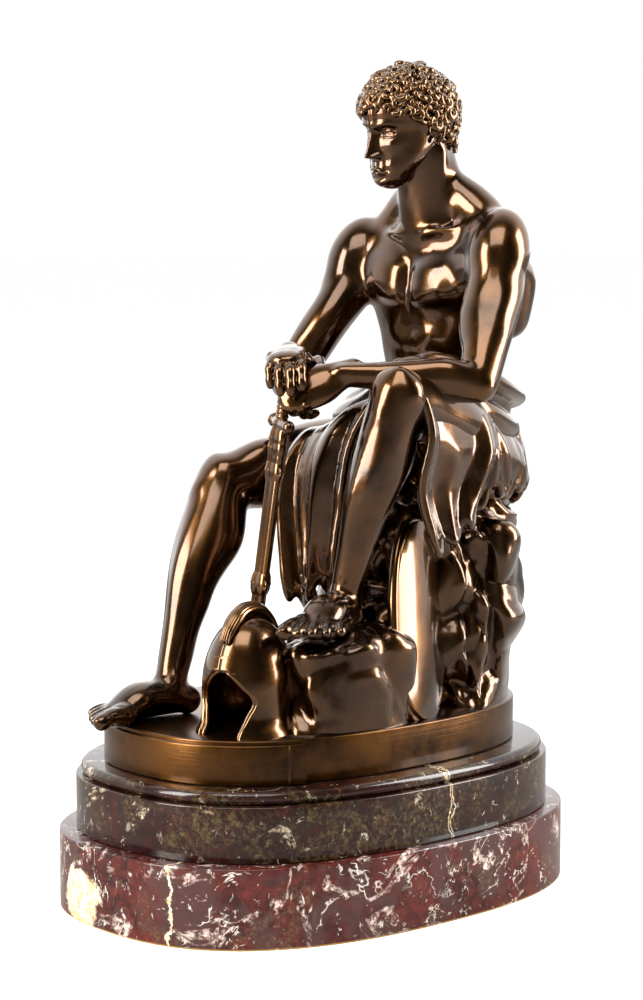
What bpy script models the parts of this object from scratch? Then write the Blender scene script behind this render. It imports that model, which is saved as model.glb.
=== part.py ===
# Seated warrior in cast bronze, resting both hands on his sword, on an oval two-step marble plinth.
# Metres, +Z up. The origin is the middle of the plinth's underside and the figure faces -Y.

import math

import bmesh
import bpy
import numpy as np
from mathutils import Matrix

# Marble plinth: two oval slabs, the upper one with a rounded roll along its top edge
LOWER_LENGTH = 0.382
LOWER_WIDTH = 0.276
LOWER_HEIGHT = 0.055
UPPER_LENGTH = 0.357
UPPER_WIDTH = 0.259
UPPER_HEIGHT = 0.0475
ROLL_RADIUS = 0.0046
ROLL_INSET = 0.0035
EDGE_EASE = 0.0012
OVAL_POWER = 2.5
OVAL_POINTS = 48

# Bronze terrace that the group is cast with, and the lower block under the forward foot
TERRACE_LENGTH = 0.312
TERRACE_WIDTH = 0.212
TERRACE_HEIGHT = 0.030
BLOCK_REACH = 0.062
BLOCK_PROUD = 0.004
BLOCK_DROP = 0.0025

# Slabs that lie on each other keep this gap
GAP = 0.0003

# The figure is measured in heads: standing, it would be 7.8 of them tall
HEAD = 0.0815
UPPER_ARM = 1.46
FOREARM = 1.16
SINK = 0.08

# The casting's mesh: how fine it is made, and how many triangles each region keeps
VOXEL = 0.0014
HEAD_TRIANGLES = 1650
HAND_TRIANGLES = 1150
FOOT_TRIANGLES = 700
HELMET_TRIANGLES = 620
SHIELD_TRIANGLES = 420
OTHER_TRIANGLES = 3950

UP = np.array((0.0, 0.0, 1.0))
FORWARD = np.array((0.0, -1.0, 0.0))
LEFT = np.array((1.0, 0.0, 0.0))

# Joints of the pose, in heads, from the middle of the terrace's top
HIP_R = np.array((-0.38, 1.47, 2.02))
HIP_L = np.array((0.48, 1.47, 2.02))
KNEE_R = np.array((-0.72, -0.45, 1.93))
KNEE_L = np.array((1.17, -0.12, 2.76))
ANKLE_R = np.array((-0.36, -1.35, 0.32))
ANKLE_L = np.array((0.76, -0.36, 1.06))
SHOULDER_R = np.array((-0.60, 1.22, 3.93))
SHOULDER_L = np.array((0.98, 1.27, 4.00))
WRIST_R = np.array((0.08, -0.36, 3.10))
WRIST_L = np.array((0.66, -0.30, 2.93))
SKULL = np.array((0.20, 0.90, 5.04))
HELMET = np.array((0.52, -1.22, -0.02))
SHIELD = np.array((1.15, 0.18, -0.02))
SHIELD_TALL = 0.86
POMMEL = np.array((0.34, -0.62, 2.96))
SWORD_TIP = np.array((0.02, -0.84, 0.06))


# Curves and surfaces

def through(knots, t):
    """Smooth curve that passes through evenly spaced knots, read at t from 0 to 1."""
    k = np.asarray(knots, float)
    s = np.clip(t, 0, 1) * (len(k) - 1)
    i = np.minimum(s.astype(int), len(k) - 2)
    f = (s - i).reshape(-1, *[1] * (k.ndim - 1))
    slope = np.gradient(k, axis=0)
    ease = f * f * (3 - 2 * f)
    bend = slope[i] * f * (1 - f) ** 2 - slope[i + 1] * f * f * (1 - f)
    return k[i] * (1 - ease) + k[i + 1] * ease + bend


def unit(v):
    v = np.asarray(v, float)
    return v / np.maximum(np.linalg.norm(v, axis=-1, keepdims=True), 1e-9)


def across(v, axis):
    """The part of v that is square to the axis, as a unit vector."""
    axis = unit(axis)
    v = np.asarray(v, float)
    return unit(v - np.sum(v * axis, axis=-1, keepdims=True) * axis)


def ramp(x, start, end):
    """Smooth step from 0 at start to 1 at end."""
    s = np.clip((x - start) / (end - start), 0, 1)
    return s * s * (3 - 2 * s)


def hump(x, z, x0, z0, wide, tall, height):
    """Smooth round rise at x0, z0."""
    return height * np.exp(-(((x - x0) / wide) ** 2) - (((z - z0) / tall) ** 2))


def angle_from(a, b):
    """Difference of two angles in degrees, from -180 to 180."""
    return (a - b + 180) % 360 - 180


def loft_faces(rings, sides):
    """Quads between closed rings, and one face over each end."""
    i = np.arange(rings - 1)[:, None] * sides
    j = np.arange(sides)[None]
    k = (j + 1) % sides
    quads = np.stack([i + j, i + k, i + sides + k, i + sides + j], -1).reshape(-1, 4).tolist()
    first = list(range(sides))[::-1]
    last = list(range((rings - 1) * sides, rings * sides))
    return quads + [first, last]


def limb(path, radius, front, side=LEFT, bumps=(), flat=1.0, rings=18, sides=20):
    """Round-ended loft. Its radius follows the knots, and each bump is (place along it, angle from
    front towards side, height as a share of the radius, length, spread in degrees)."""
    cap = np.linspace(0, 0.5 * math.pi, 5)[1:]
    cap[-1] -= 0.12
    t = np.concatenate([np.zeros(4), np.linspace(0, 1, rings), np.ones(4)])
    push = np.concatenate([-np.sin(cap[::-1]), np.zeros(rings), np.sin(cap)])
    shrink = np.concatenate([np.cos(cap[::-1]), np.ones(rings), np.cos(cap)])
    centre = through(path, t)
    heading = unit(np.gradient(through(path, np.linspace(0, 1, rings)), axis=0))
    heading = np.concatenate([np.repeat(heading[:1], 4, 0), heading, np.repeat(heading[-1:], 4, 0)])
    ahead = across(np.broadcast_to(front, heading.shape), heading)
    beside = np.cross(heading, ahead)
    mirrored = np.sum(beside * side) < 0
    beside = -beside if mirrored else beside
    angle = np.linspace(0, 360, sides, endpoint=False)
    swell = np.ones((len(t), sides))
    for place, aim, height, length, spread in bumps:
        along = np.exp(-(((t - place) / length) ** 2))
        around = np.exp(-((angle_from(angle, aim) / spread) ** 2))
        swell += height * along[:, None] * around[None]
    r = through(radius, t)
    centre = centre + heading * (push * r)[:, None]
    out = (r * shrink)[:, None] * swell
    turn = np.radians(angle)
    points = centre[:, None] + out[..., None] * (
        np.cos(turn)[None, :, None] * flat * ahead[:, None] + np.sin(turn)[None, :, None] * beside[:, None]
    )
    faces = loft_faces(len(t), sides)
    if mirrored:
        faces = [face[::-1] for face in faces]
    return points.reshape(-1, 3), faces


def ball(centre, radii, ahead=FORWARD, up=UP, segments=20):
    """Ellipsoid with its first radius to the side, its second ahead and its third up."""
    up = unit(up)
    ahead = across(ahead, up)
    side = np.cross(ahead, up)
    shape = bmesh.new()
    bmesh.ops.create_uvsphere(shape, u_segments=segments, v_segments=segments // 2, radius=1)
    points = np.array([v.co for v in shape.verts]) * np.asarray(radii)
    faces = [[v.index for v in face.verts] for face in shape.faces]
    shape.free()
    return np.asarray(centre) + points @ np.stack([side, ahead, up]), [f[::-1] for f in faces]


def strand(path, radius, points=16):
    """Thin round rod along a smooth path, such as a finger, a curl or a rim."""
    t = np.linspace(0, 1, points)
    curve = bpy.data.curves.new("strand", "CURVE")
    curve.dimensions = "3D"
    curve.bevel_depth = 1
    curve.bevel_resolution = 1
    curve.use_fill_caps = True
    spline = curve.splines.new("POLY")
    spline.points.add(points - 1)
    spline.points.foreach_set("co", np.column_stack([through(path, t), np.ones(points)]).ravel())
    spline.points.foreach_set("radius", through(radius, t) * np.sqrt(np.clip(1.1 - (2 * t - 1) ** 8, 0.1, 1)))
    rod = bpy.data.objects.new("strand", curve)
    mesh = rod.to_mesh()
    shape = np.array([v.co for v in mesh.vertices]), [list(face.vertices) for face in mesh.polygons]
    rod.to_mesh_clear()
    bpy.data.objects.remove(rod)
    bpy.data.curves.remove(curve)
    return shape


def sheet(grid, thickness):
    """Shell of even thickness behind an open grid of points."""
    rows, columns = grid.shape[:2]
    i = np.arange(rows - 1)[:, None] * columns
    j = np.arange(columns - 1)[None]
    faces = np.stack([i + j, i + j + 1, i + columns + j + 1, i + columns + j], -1).reshape(-1, 4)
    mesh = bpy.data.meshes.new("sheet")
    mesh.from_pydata(grid.reshape(-1, 3).tolist(), [], faces.tolist())
    obj = bpy.data.objects.new("sheet", mesh)
    bpy.context.scene.collection.objects.link(obj)
    shell = obj.modifiers.new("thickness", "SOLIDIFY")
    shell.thickness = thickness
    shell.offset = -1
    settle(obj)
    shape = np.array([v.co for v in obj.data.vertices]), [list(face.vertices) for face in obj.data.polygons]
    bpy.data.objects.remove(obj)
    return shape


def settle(obj):
    """Replaces the object's mesh by what its modifiers make of it."""
    graph = bpy.context.evaluated_depsgraph_get()
    baked = bpy.data.meshes.new_from_object(obj.evaluated_get(graph))
    obj.modifiers.clear()
    obj.data = baked


# The body, in heads

def chest_relief(x, t):
    """Muscles on the front of the trunk, x to the side of the middle and t above the crotch."""
    ax = np.abs(x)
    low = 1.87 - 0.50 * ax + 1.10 * ax ** 2
    pec = ramp(t, low - 0.05, low + 0.05) * (1 - ramp(t, 2.02, 2.46)) * (1 - ramp(ax, 0.56, 0.80))
    pec = 0.115 * pec * (0.30 + 0.70 * ramp(ax, 0.0, 0.11))
    column = (1 - ramp(ax, 0.26, 0.33)) * ramp(t, 0.25, 0.45) * (1 - ramp(t, 1.66, 1.84))
    belly = 0.045 * column * (0.45 + 0.55 * ramp(ax, 0.0, 0.07))
    for row in (1.14, 1.37, 1.60):
        belly = belly - 0.026 * column * np.exp(-(((t - row - 0.05 * (ax / 0.3) ** 2) / 0.024) ** 2))
    arch = 1.82 - 0.98 * ax
    ribs = 0.034 * np.exp(-(((t - arch) / 0.045) ** 2)) * ramp(ax, 0.05, 0.14) * (1 - ramp(ax, 0.42, 0.56))
    sides = hump(ax, t, 0.50, 0.84, 0.13, 0.17, 0.055)
    crest = 0.22 + 0.86 * (ax - 0.10)
    crease = -0.034 * np.exp(-(((t - crest) / 0.035) ** 2)) * (1 - ramp(ax, 0.50, 0.62))
    navel = hump(x, t, 0, 0.98, 0.026, 0.022, -0.035)
    nipple = hump(ax, t, 0.37, 1.95, 0.024, 0.024, 0.014)
    for row in range(4):
        sides = sides + hump(ax, t, 0.62 - 0.02 * row, 1.42 + 0.125 * row, 0.055, 0.038, 0.030)
    return pec + belly + ribs + sides + crease + navel + nipple


def back_relief(x, t):
    """Muscles on the back of the trunk, in the same measures."""
    ax = np.abs(x)
    inner = ramp(t, 0.35, 0.65) * (1 - ramp(t, 2.25, 2.50))
    groove = -0.075 * np.exp(-((ax / 0.065) ** 2)) * inner
    columns = 0.050 * np.exp(-(((ax - 0.17) / 0.10) ** 2)) * ramp(t, 0.35, 0.6) * (1 - ramp(t, 1.45, 1.8))
    blade = 0.060 * np.exp(-(((ax - 0.44) / 0.21) ** 4) - (((t - 1.98) / 0.27) ** 4))
    blade = blade + 0.030 * np.exp(-(((t - 2.06 - 0.36 * (ax - 0.2)) / 0.045) ** 2)) * ramp(ax, 0.18, 0.3)
    yoke = 0.055 * ramp(t, 1.45, 2.2) * np.exp(-((ax / (0.08 + 0.42 * ramp(t, 1.4, 2.45))) ** 2))
    broad = hump(ax, t, 0.56, 1.66, 0.15, 0.30, 0.055) + hump(ax, t, 0.62, 2.04, 0.12, 0.10, 0.045)
    seat = hump(ax, t, 0.32, 0.20, 0.24, 0.27, 0.11)
    return groove + columns + blade + yoke + broad + seat


def trunk(rows=96, columns=100):
    """Trunk as one loft up the spine, from below the hips to the root of the neck."""
    low = -0.25
    high = 2.62
    level = np.linspace(0, 1, rows)
    t = low + (high - low) * level
    spine = through([(0.05, 1.50, 1.52), (0.05, 1.53, 1.90), (0.06, 1.53, 2.31), (0.075, 1.47, 2.72),
                     (0.095, 1.44, 3.13), (0.115, 1.43, 3.54), (0.14, 1.38, 3.93), (0.165, 1.25, 4.32)], level)
    half = through([0.55, 0.70, 0.63, 0.565, 0.61, 0.745, 0.74, 0.27], level)
    front = through([0.30, 0.38, 0.38, 0.36, 0.41, 0.435, 0.37, 0.17], level)
    back = through([0.35, 0.50, 0.41, 0.34, 0.39, 0.46, 0.45, 0.25], level)
    heading = unit(np.gradient(spine, axis=0))
    side = np.column_stack([np.ones(rows), 0.06 * level, 0.045 * level])
    side = across(side, heading)
    ahead = np.cross(side, heading)
    turn = np.linspace(0, 2 * math.pi, columns, endpoint=False)
    c = np.cos(turn)
    s = np.sin(turn)
    power = 2.3
    r = (np.abs(c) ** power + np.abs(s) ** power) ** (-1 / power)
    x = half[:, None] * (r * s)[None]
    reach = np.where(c > 0, front[:, None], back[:, None])
    y = reach * (r * c)[None]
    tt = np.broadcast_to(t[:, None], x.shape)
    y = y + chest_relief(x, tt) * np.clip(c, 0, 1)[None] ** 0.4
    y = y - back_relief(x, tt) * np.clip(-c, 0, 1)[None] ** 0.4
    points = spine[:, None] + x[..., None] * side[:, None] + y[..., None] * ahead[:, None]
    return points.reshape(-1, 3), [face[::-1] for face in loft_faces(rows, columns)]


def shoulders():
    """Muscles that bridge from the trunk and the neck to the arms, and the collar bones."""
    shapes = []
    for side, shoulder, elbow in ((-1, SHOULDER_R, elbow_r()), (1, SHOULDER_L, elbow_l())):
        arm_way = unit(elbow - shoulder)
        neck = np.array((0.165 + 0.13 * side, 1.24, 4.58))
        shapes.append(limb([neck, (neck + shoulder) / 2 + (0, 0.09, 0.0), shoulder + (-0.05 * side, 0.06, 0.12)],
                           [0.15, 0.20, 0.20, 0.15], FORWARD, LEFT))
        pit = shoulder + (-0.24 * side, -0.13, -0.16)
        shapes.append(limb([pit + (-0.22 * side, 0.06, -0.08), pit, shoulder + arm_way * 0.42 + (0, -0.02, 0)],
                           [0.13, 0.17, 0.155, 0.10], FORWARD, LEFT, flat=0.9))
        rear = shoulder + (-0.22 * side, 0.30, -0.62)
        shapes.append(limb([rear, shoulder + (-0.08 * side, 0.24, -0.24), shoulder + arm_way * 0.28 + (0, 0.07, 0)],
                           [0.22, 0.22, 0.18, 0.13], FORWARD, LEFT))
        notch = np.array((0.175 + 0.07 * side, 1.04, 4.17))
        tip = shoulder + (-0.06 * side, 0.0, 0.245)
        shapes.append(strand([notch, (notch * 2 + tip) / 3 + (0, -0.06, 0.01), (notch + tip * 2) / 3, tip],
                             [0.055, 0.045, 0.042, 0.055]))
    return shapes


def elbow_of(shoulder, wrist, pole):
    """Where the elbow is, from the lengths of the two bones and the side that it points to."""
    line = wrist - shoulder
    reach = np.linalg.norm(line)
    back = (UPPER_ARM ** 2 - FOREARM ** 2 + reach ** 2) / (2 * reach)
    lift = math.sqrt(max(UPPER_ARM ** 2 - back ** 2, 0.0))
    return shoulder + unit(line) * back + across(pole, line) * lift


def elbow_r():
    return elbow_of(SHOULDER_R, WRIST_R, (-0.62, 0, -0.78))


def elbow_l():
    return elbow_of(SHOULDER_L, WRIST_L, (0.75, 0.1, -0.66))


def arm(shoulder, elbow, wrist, side):
    """Arm to the wrist: deltoid, biceps, triceps and the two sides of the forearm."""
    upper = elbow - shoulder
    fore = wrist - elbow
    inside = across(fore, upper)
    outward = np.cross(unit(upper), inside)
    outward = outward if np.dot(outward, LEFT * side) > 0 else -outward
    upper_bumps = [(0.55, 0, 0.24, 0.19, 46), (0.40, 165, 0.22, 0.22, 50), (0.66, 140, 0.10, 0.13, 34),
                   (0.46, 88, -0.10, 0.10, 20), (0.55, -88, -0.08, 0.16, 20), (0.78, 0, -0.06, 0.06, 30)]
    shapes = [limb([shoulder, (shoulder + elbow) / 2, elbow], [0.235, 0.235, 0.215, 0.195, 0.165], inside,
                   outward, upper_bumps, rings=34, sides=30)]
    shapes.append(ball(shoulder + outward * 0.085 + unit(upper) * 0.12, (0.265, 0.275, 0.42), inside,
                       -upper + outward * 0.22, 28))
    shapes.append(ball(shoulder + outward * 0.10 + unit(upper) * 0.36, (0.17, 0.20, 0.30), inside,
                       -upper + outward * 0.1, 24))
    bend = across(-upper, fore)
    fore_bumps = [(0.24, 70, 0.22, 0.20, 46), (0.30, -80, 0.20, 0.22, 46), (0.06, 180, 0.10, 0.08, 30),
                  (0.97, 90, 0.10, 0.06, 34), (0.97, -90, 0.12, 0.06, 34), (0.60, 150, -0.05, 0.2, 16)]
    shapes.append(limb([elbow, (elbow + wrist) / 2 + bend * 0.02, wrist],
                       [0.165, 0.190, 0.170, 0.132, 0.112], bend, outward, fore_bumps, flat=0.88,
                       rings=32, sides=28))
    shapes.append(ball(elbow - bend * 0.085, (0.085, 0.09, 0.11), bend, fore, 14))
    return shapes


def finger(knuckle, heading, palm, lengths, bends, radius):
    """Finger as one rod that bends towards the palm at its knuckle and its two joints."""
    heading = unit(heading)
    curl_way = across(palm, heading)
    place = np.array(knuckle, float)
    points = [place.copy()]
    turn = 0.0
    for length, bend in zip(lengths, bends):
        turn += math.radians(bend)
        step = heading * math.cos(turn) + curl_way * math.sin(turn)
        points.append(place + step * length * 0.5)
        place = place + step * length
        points.append(place.copy())
    return strand(points, np.array((1, 0.96, 1.05, 0.93, 0.98, 0.90, 0.72)) * radius, 22)


def hand(wrist, heading, palm, thumb_side, bends, thumb_heading, fan=0.14):
    """Hand with its palm, four fingers and thumb."""
    heading = unit(heading)
    palm = across(palm, heading)
    span = np.cross(heading, palm)
    span = span if np.dot(span, thumb_side) > 0 else -span
    shapes = [limb([wrist - heading * 0.05, wrist + heading * 0.18, wrist + heading * 0.41],
                   [0.115, 0.150, 0.190, 0.190, 0.170], palm, span, flat=0.42, rings=14)]
    shapes.append(ball(wrist + heading * 0.20 + span * 0.13 + palm * 0.035, (0.085, 0.07, 0.16), palm,
                       heading + span * 0.45, 14))
    shapes.append(ball(wrist + heading * 0.22 - span * 0.11 + palm * 0.03, (0.07, 0.06, 0.17), palm, heading, 14))
    lengths = ((0.205, 0.13, 0.10), (0.225, 0.145, 0.105), (0.21, 0.135, 0.105), (0.165, 0.105, 0.09))
    for number, (sizes, bend) in enumerate(zip(lengths, bends)):
        offset = 0.132 - 0.088 * number
        arch = 0.425 - 0.018 * (number - 1.2) ** 2
        knuckle = wrist + heading * arch + span * offset - palm * 0.018
        aim = heading + span * fan * (1.5 - number) * 0.6
        shapes.append(finger(knuckle, aim, palm, sizes, bend, 0.052 - 0.004 * (number == 3)))
        shapes.append(ball(knuckle - palm * 0.014, (0.048, 0.046, 0.055), palm, heading, 12))
    root = wrist + heading * 0.13 + span * 0.15 + palm * 0.02
    shapes.append(finger(root, thumb_heading, palm, (0.16, 0.16, 0.13), (5, 18, 22), 0.061))
    return shapes


def leg(hip, knee, ankle, side):
    """Leg to the ankle, with the long muscles of the thigh, the knee cap and the calf."""
    thigh = knee - hip
    shin = ankle - knee
    front = across(-shin, thigh)
    shin_front = across(thigh, shin)
    lateral = np.cross(unit(thigh), front)
    lateral = lateral if np.dot(lateral, LEFT * side) > 0 else -lateral
    thigh_bumps = [(0.50, 8, 0.10, 0.28, 40), (0.60, 66, 0.13, 0.22, 36), (0.83, -52, 0.22, 0.09, 32),
                   (0.45, 170, 0.12, 0.26, 50), (0.18, -70, 0.12, 0.18, 46), (0.88, 46, 0.10, 0.07, 24),
                   (0.72, 108, -0.08, 0.18, 16), (0.74, -100, -0.06, 0.16, 18), (0.93, 0, -0.05, 0.05, 30)]
    shapes = [limb([hip, (hip + knee) / 2 + front * 0.05, knee], [0.42, 0.41, 0.375, 0.315, 0.255],
                   front, lateral, thigh_bumps, rings=40, sides=40)]
    shin_bumps = [(0.31, 148, 0.36, 0.16, 40), (0.27, -150, 0.42, 0.17, 40), (0.30, 42, 0.14, 0.20, 28),
                  (0.09, 0, 0.12, 0.045, 24), (0.45, -14, 0.06, 0.30, 12), (0.62, 180, 0.12, 0.12, 40),
                  (0.90, 180, 0.14, 0.12, 20), (0.42, 92, 0.10, 0.18, 26), (0.55, 180, -0.04, 0.06, 30)]
    shapes.append(limb([knee, (knee + ankle) / 2 + shin_front * 0.05, ankle],
                       [0.245, 0.225, 0.205, 0.155, 0.138], shin_front, lateral, shin_bumps, flat=1.02,
                       rings=44, sides=40))
    cap = unit(front + shin_front)
    shapes.append(ball(knee + cap * 0.170, (0.135, 0.10, 0.16), cap, -shin, 20))
    shapes.append(ball(knee + unit(shin) * 0.24 + shin_front * 0.170, (0.07, 0.06, 0.09), shin_front, -shin, 14))
    for way in (-1, 1):
        shapes.append(ball(knee + lateral * 0.14 * way + cap * 0.02, (0.12, 0.16, 0.17), cap, -shin))
        bone = ankle + lateral * 0.122 * way + unit(shin) * (0.02 if way < 0 else 0.05)
        shapes.append(ball(bone, (0.052, 0.07, 0.08), shin_front, -shin, 14))
    return shapes


def foot(ankle, heading, side, sole):
    """Bare foot: heel, arched instep, ball and five toes. The sole lies at the height given."""
    heading = across(heading, UP)
    outer = np.cross(heading, UP)
    outer = outer if np.dot(outer, LEFT * side) > 0 else -outer

    def at(forward, out, up):
        place = ankle + heading * forward + outer * out
        place[2] = sole + up
        return place

    top = ankle[2] - sole
    shapes = [limb([at(-0.14, 0, 0.13), at(0.06, 0, top * 0.62), at(0.34, 0.0, 0.21), at(0.62, 0.02, 0.105)],
                   [0.14, 0.170, 0.175, 0.190, 0.170], UP, outer, [(0.45, 0, 0.16, 0.2, 40)], flat=0.64,
                   rings=22, sides=24)]
    shapes.append(ball(at(-0.18, 0, 0.13), (0.13, 0.13, 0.135), heading))
    shapes.append(strand([at(-0.19, 0, 0.16), at(-0.12, 0, top * 0.9), ankle - heading * 0.10 + UP * 0.22],
                         [0.075, 0.058, 0.075]))
    shapes.append(limb([at(-0.10, 0.06, 0.075), at(0.25, 0.10, 0.07), at(0.60, 0.12, 0.07)],
                       [0.095, 0.095, 0.09], UP, outer, flat=0.75))
    shapes.append(ball(at(0.60, -0.10, 0.105), (0.11, 0.135, 0.10), heading))
    shapes.append(ball(at(0.56, 0.10, 0.09), (0.115, 0.135, 0.085), heading))
    for number in range(5):
        out = -0.118 + 0.079 * number - (0.012 if number == 0 else 0)
        start = 0.66 - 0.028 * number - 0.012 * max(number - 2, 0)
        length = (0.27, 0.25, 0.22, 0.185, 0.15)[number]
        size = (0.075, 0.050, 0.047, 0.045, 0.044)[number]
        spread = 0.02 * (number - 1)
        path = [at(start - 0.06, out, 0.105), at(start + length * 0.40, out + spread * 0.5, 0.118),
                at(start + length * 0.75, out + spread, 0.082), at(start + length, out + spread, 0.060)]
        shapes.append(strand(path, [size * 0.95, size, size * 0.9, size * 1.02, size * 0.85]))
    return shapes


# The head, in heads, about the middle of the skull

def face_relief(x, z):
    """How far each feature of a calm, regular face stands out, over the plane of the face."""
    ax = np.abs(x)
    slope = np.clip((0.085 - z) / 0.275, 0, 1)
    tip = 1 / (1 + np.exp(-(z + 0.212) / 0.010))
    nose = (0.018 + 0.105 * slope) * tip * np.exp(-((ax / (0.030 + 0.016 * slope)) ** 2.2))
    nose = nose + hump(ax, z, 0.050, -0.186, 0.024, 0.026, 0.045)
    brow_line = 0.078 + 0.018 * np.sin(ax * 9) - 0.9 * np.clip(ax - 0.17, 0, 1) ** 1.5
    brow = 0.022 * np.exp(-(((z - brow_line) / 0.026) ** 2)) * np.exp(-((ax / 0.24) ** 4))
    socket = hump(ax, z, 0.135, 0.018, 0.075, 0.042, -0.050)
    eye = hump(ax, z, 0.142, 0.006, 0.050, 0.030, 0.036)
    arch = 0.030 * np.clip(1 - ((ax - 0.142) / 0.075) ** 2, 0, 1)
    lids = 0.012 * (np.exp(-(((z - 0.008 - arch) / 0.008) ** 2))
                    + 0.8 * np.exp(-(((z - 0.004 + arch * 0.8) / 0.008) ** 2)))
    lids = lids * (arch > 0.002)
    mouth_fade = np.exp(-((ax / 0.098) ** 4))
    upper_line = -0.287 - 0.010 * np.cos(ax * 42) * np.exp(-((ax / 0.06) ** 2))
    lips = 0.026 * np.exp(-(((z - upper_line) / 0.015) ** 2)) + 0.030 * np.exp(-(((z + 0.328) / 0.018) ** 2))
    parting = -0.020 * np.exp(-(((z + 0.306) / 0.007) ** 2))
    mouth = (lips + parting) * mouth_fade + hump(x, z, 0, -0.30, 0.13, 0.06, 0.020)
    philtrum = hump(x, z, 0, -0.252, 0.012, 0.02, -0.008)
    chin = hump(x, z, 0, -0.430, 0.085, 0.050, 0.036) + hump(x, z, 0, -0.370, 0.07, 0.018, -0.012)
    cheek = hump(ax, z, 0.205, -0.085, 0.07, 0.07, 0.022) + hump(ax, z, 0.15, -0.23, 0.06, 0.07, -0.014)
    return nose + brow + socket + eye + lids + mouth + philtrum + chin + cheek


def skull(rows=110, columns=120):
    """Head as one loft up its height, with the face raised on its front."""
    level = np.linspace(0, 1, rows)
    z = np.linspace(-0.498, 0.498, rows)
    half = through([0.02, 0.165, 0.235, 0.272, 0.288, 0.300, 0.315, 0.325, 0.315, 0.245, 0.02], level)
    face = through([0.30, 0.395, 0.392, 0.388, 0.385, 0.385, 0.400, 0.405, 0.375, 0.27, 0.04], level)
    nape = through([-0.22, -0.12, 0.02, 0.20, 0.35, 0.425, 0.455, 0.455, 0.41, 0.29, 0.05], level)
    turn = np.linspace(0, 2 * math.pi, columns, endpoint=False)
    c = np.cos(turn)
    s = np.sin(turn)
    power = 2.25
    r = (np.abs(c) ** power + np.abs(s) ** power) ** (-1 / power)
    x = half[:, None] * (r * s)[None]
    y = ((nape - face) / 2)[:, None] - ((nape + face) / 2)[:, None] * (r * c)[None]
    zz = np.broadcast_to(z[:, None], x.shape)
    y = y - face_relief(x, zz) * np.clip(c, 0, 1)[None] ** 0.5
    points = np.stack([x, y, zz], -1).reshape(-1, 3)
    return points, [f[::-1] for f in loft_faces(rows, columns)]


def ear(side):
    """Ear as a curled rim round a shallow bowl."""
    turn = np.linspace(-0.7, 1.42, 9) * math.pi
    rim = np.column_stack([(0.345 + 0.012 * np.cos(turn)) * side, 0.045 + 0.055 * np.cos(turn),
                           -0.015 + 0.092 * np.sin(turn)])
    return [strand(rim, [0.024, 0.022, 0.022, 0.020, 0.026], 20),
            ball((0.322 * side, 0.05, -0.01), (0.028, 0.05, 0.075)),
            ball((0.335 * side, 0.028, -0.095), (0.024, 0.030, 0.034))]


def lock(centre, normal, size, way, start):
    """Lock of hair that curls round almost to a ring and rises towards its end."""
    normal = unit(normal)
    a = across((0.31, 0.17, 0.93), normal)
    b = np.cross(normal, a)
    t = np.linspace(0, 1, 6)
    turn = start + way * t * 1.6 * math.pi
    path = (centre + size * 0.55 * (np.cos(turn)[:, None] * a + np.sin(turn)[:, None] * b)
            + normal * (0.010 + size * 0.45 * t)[:, None])
    return strand(path, np.array((0.30, 0.46, 0.46, 0.36)) * size, 10)


def hair(count=128):
    """Cap of locks over the scalp, at even places by the golden angle, down to forehead and nape."""
    middle = np.array((0.0, 0.035, 0.085))
    radii = np.array((0.335, 0.43, 0.425))
    shapes = [ball(middle + (0, 0.03, 0.03), (0.335, 0.425, 0.40), segments=28)]
    for number in range(count):
        rise = 1 - 2 * (number + 0.5) / count
        turn = number * math.pi * (3 - math.sqrt(5))
        flat = math.sqrt(1 - rise * rise)
        way_out = np.array((flat * math.sin(turn), -flat * math.cos(turn), rise))
        ahead = -way_out[1]
        edge = 0.48 * math.sqrt(ahead) - 0.05 if ahead > 0 else -0.05 - 0.62 * min(-ahead * 1.6, 1)
        if rise > edge:
            shapes.append(lock(middle + way_out * radii, way_out / radii, 0.092, 1 if number % 2 else -1,
                               number * 1.7))
    return shapes


def head():
    """Head, ears and hair, turned and nodded as one, and the neck below it."""
    placed = np.array(Matrix.Rotation(math.radians(-4), 3, "Z") @ Matrix.Rotation(math.radians(3), 3, "Y")
                      @ Matrix.Rotation(math.radians(13), 3, "X"))
    shapes = [(points @ placed.T + SKULL, faces) for points, faces in [skull()] + ear(1) + ear(-1) + hair()]
    base = np.array((0.165, 1.22, 4.10))
    top = SKULL + placed @ np.array((0, 0.10, -0.16))
    shapes.append(limb([base, (base + top) / 2 + (0, 0.02, 0), top], [0.33, 0.285, 0.272, 0.275], FORWARD, LEFT,
                       [(0.55, 0, 0.05, 0.1, 16)], rings=20, sides=28))
    notch = np.array((0.19, 0.95, 4.12))
    for side in (-1, 1):
        behind_ear = SKULL + placed @ np.array((0.26 * side, 0.12, -0.16))
        shapes.append(strand([behind_ear, (behind_ear + notch) / 2 + (0.06 * side, 0.0, 0),
                              notch + (0.06 * side, 0, 0)], [0.085, 0.080, 0.065, 0.040]))
    return shapes


# Arms of a soldier

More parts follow.
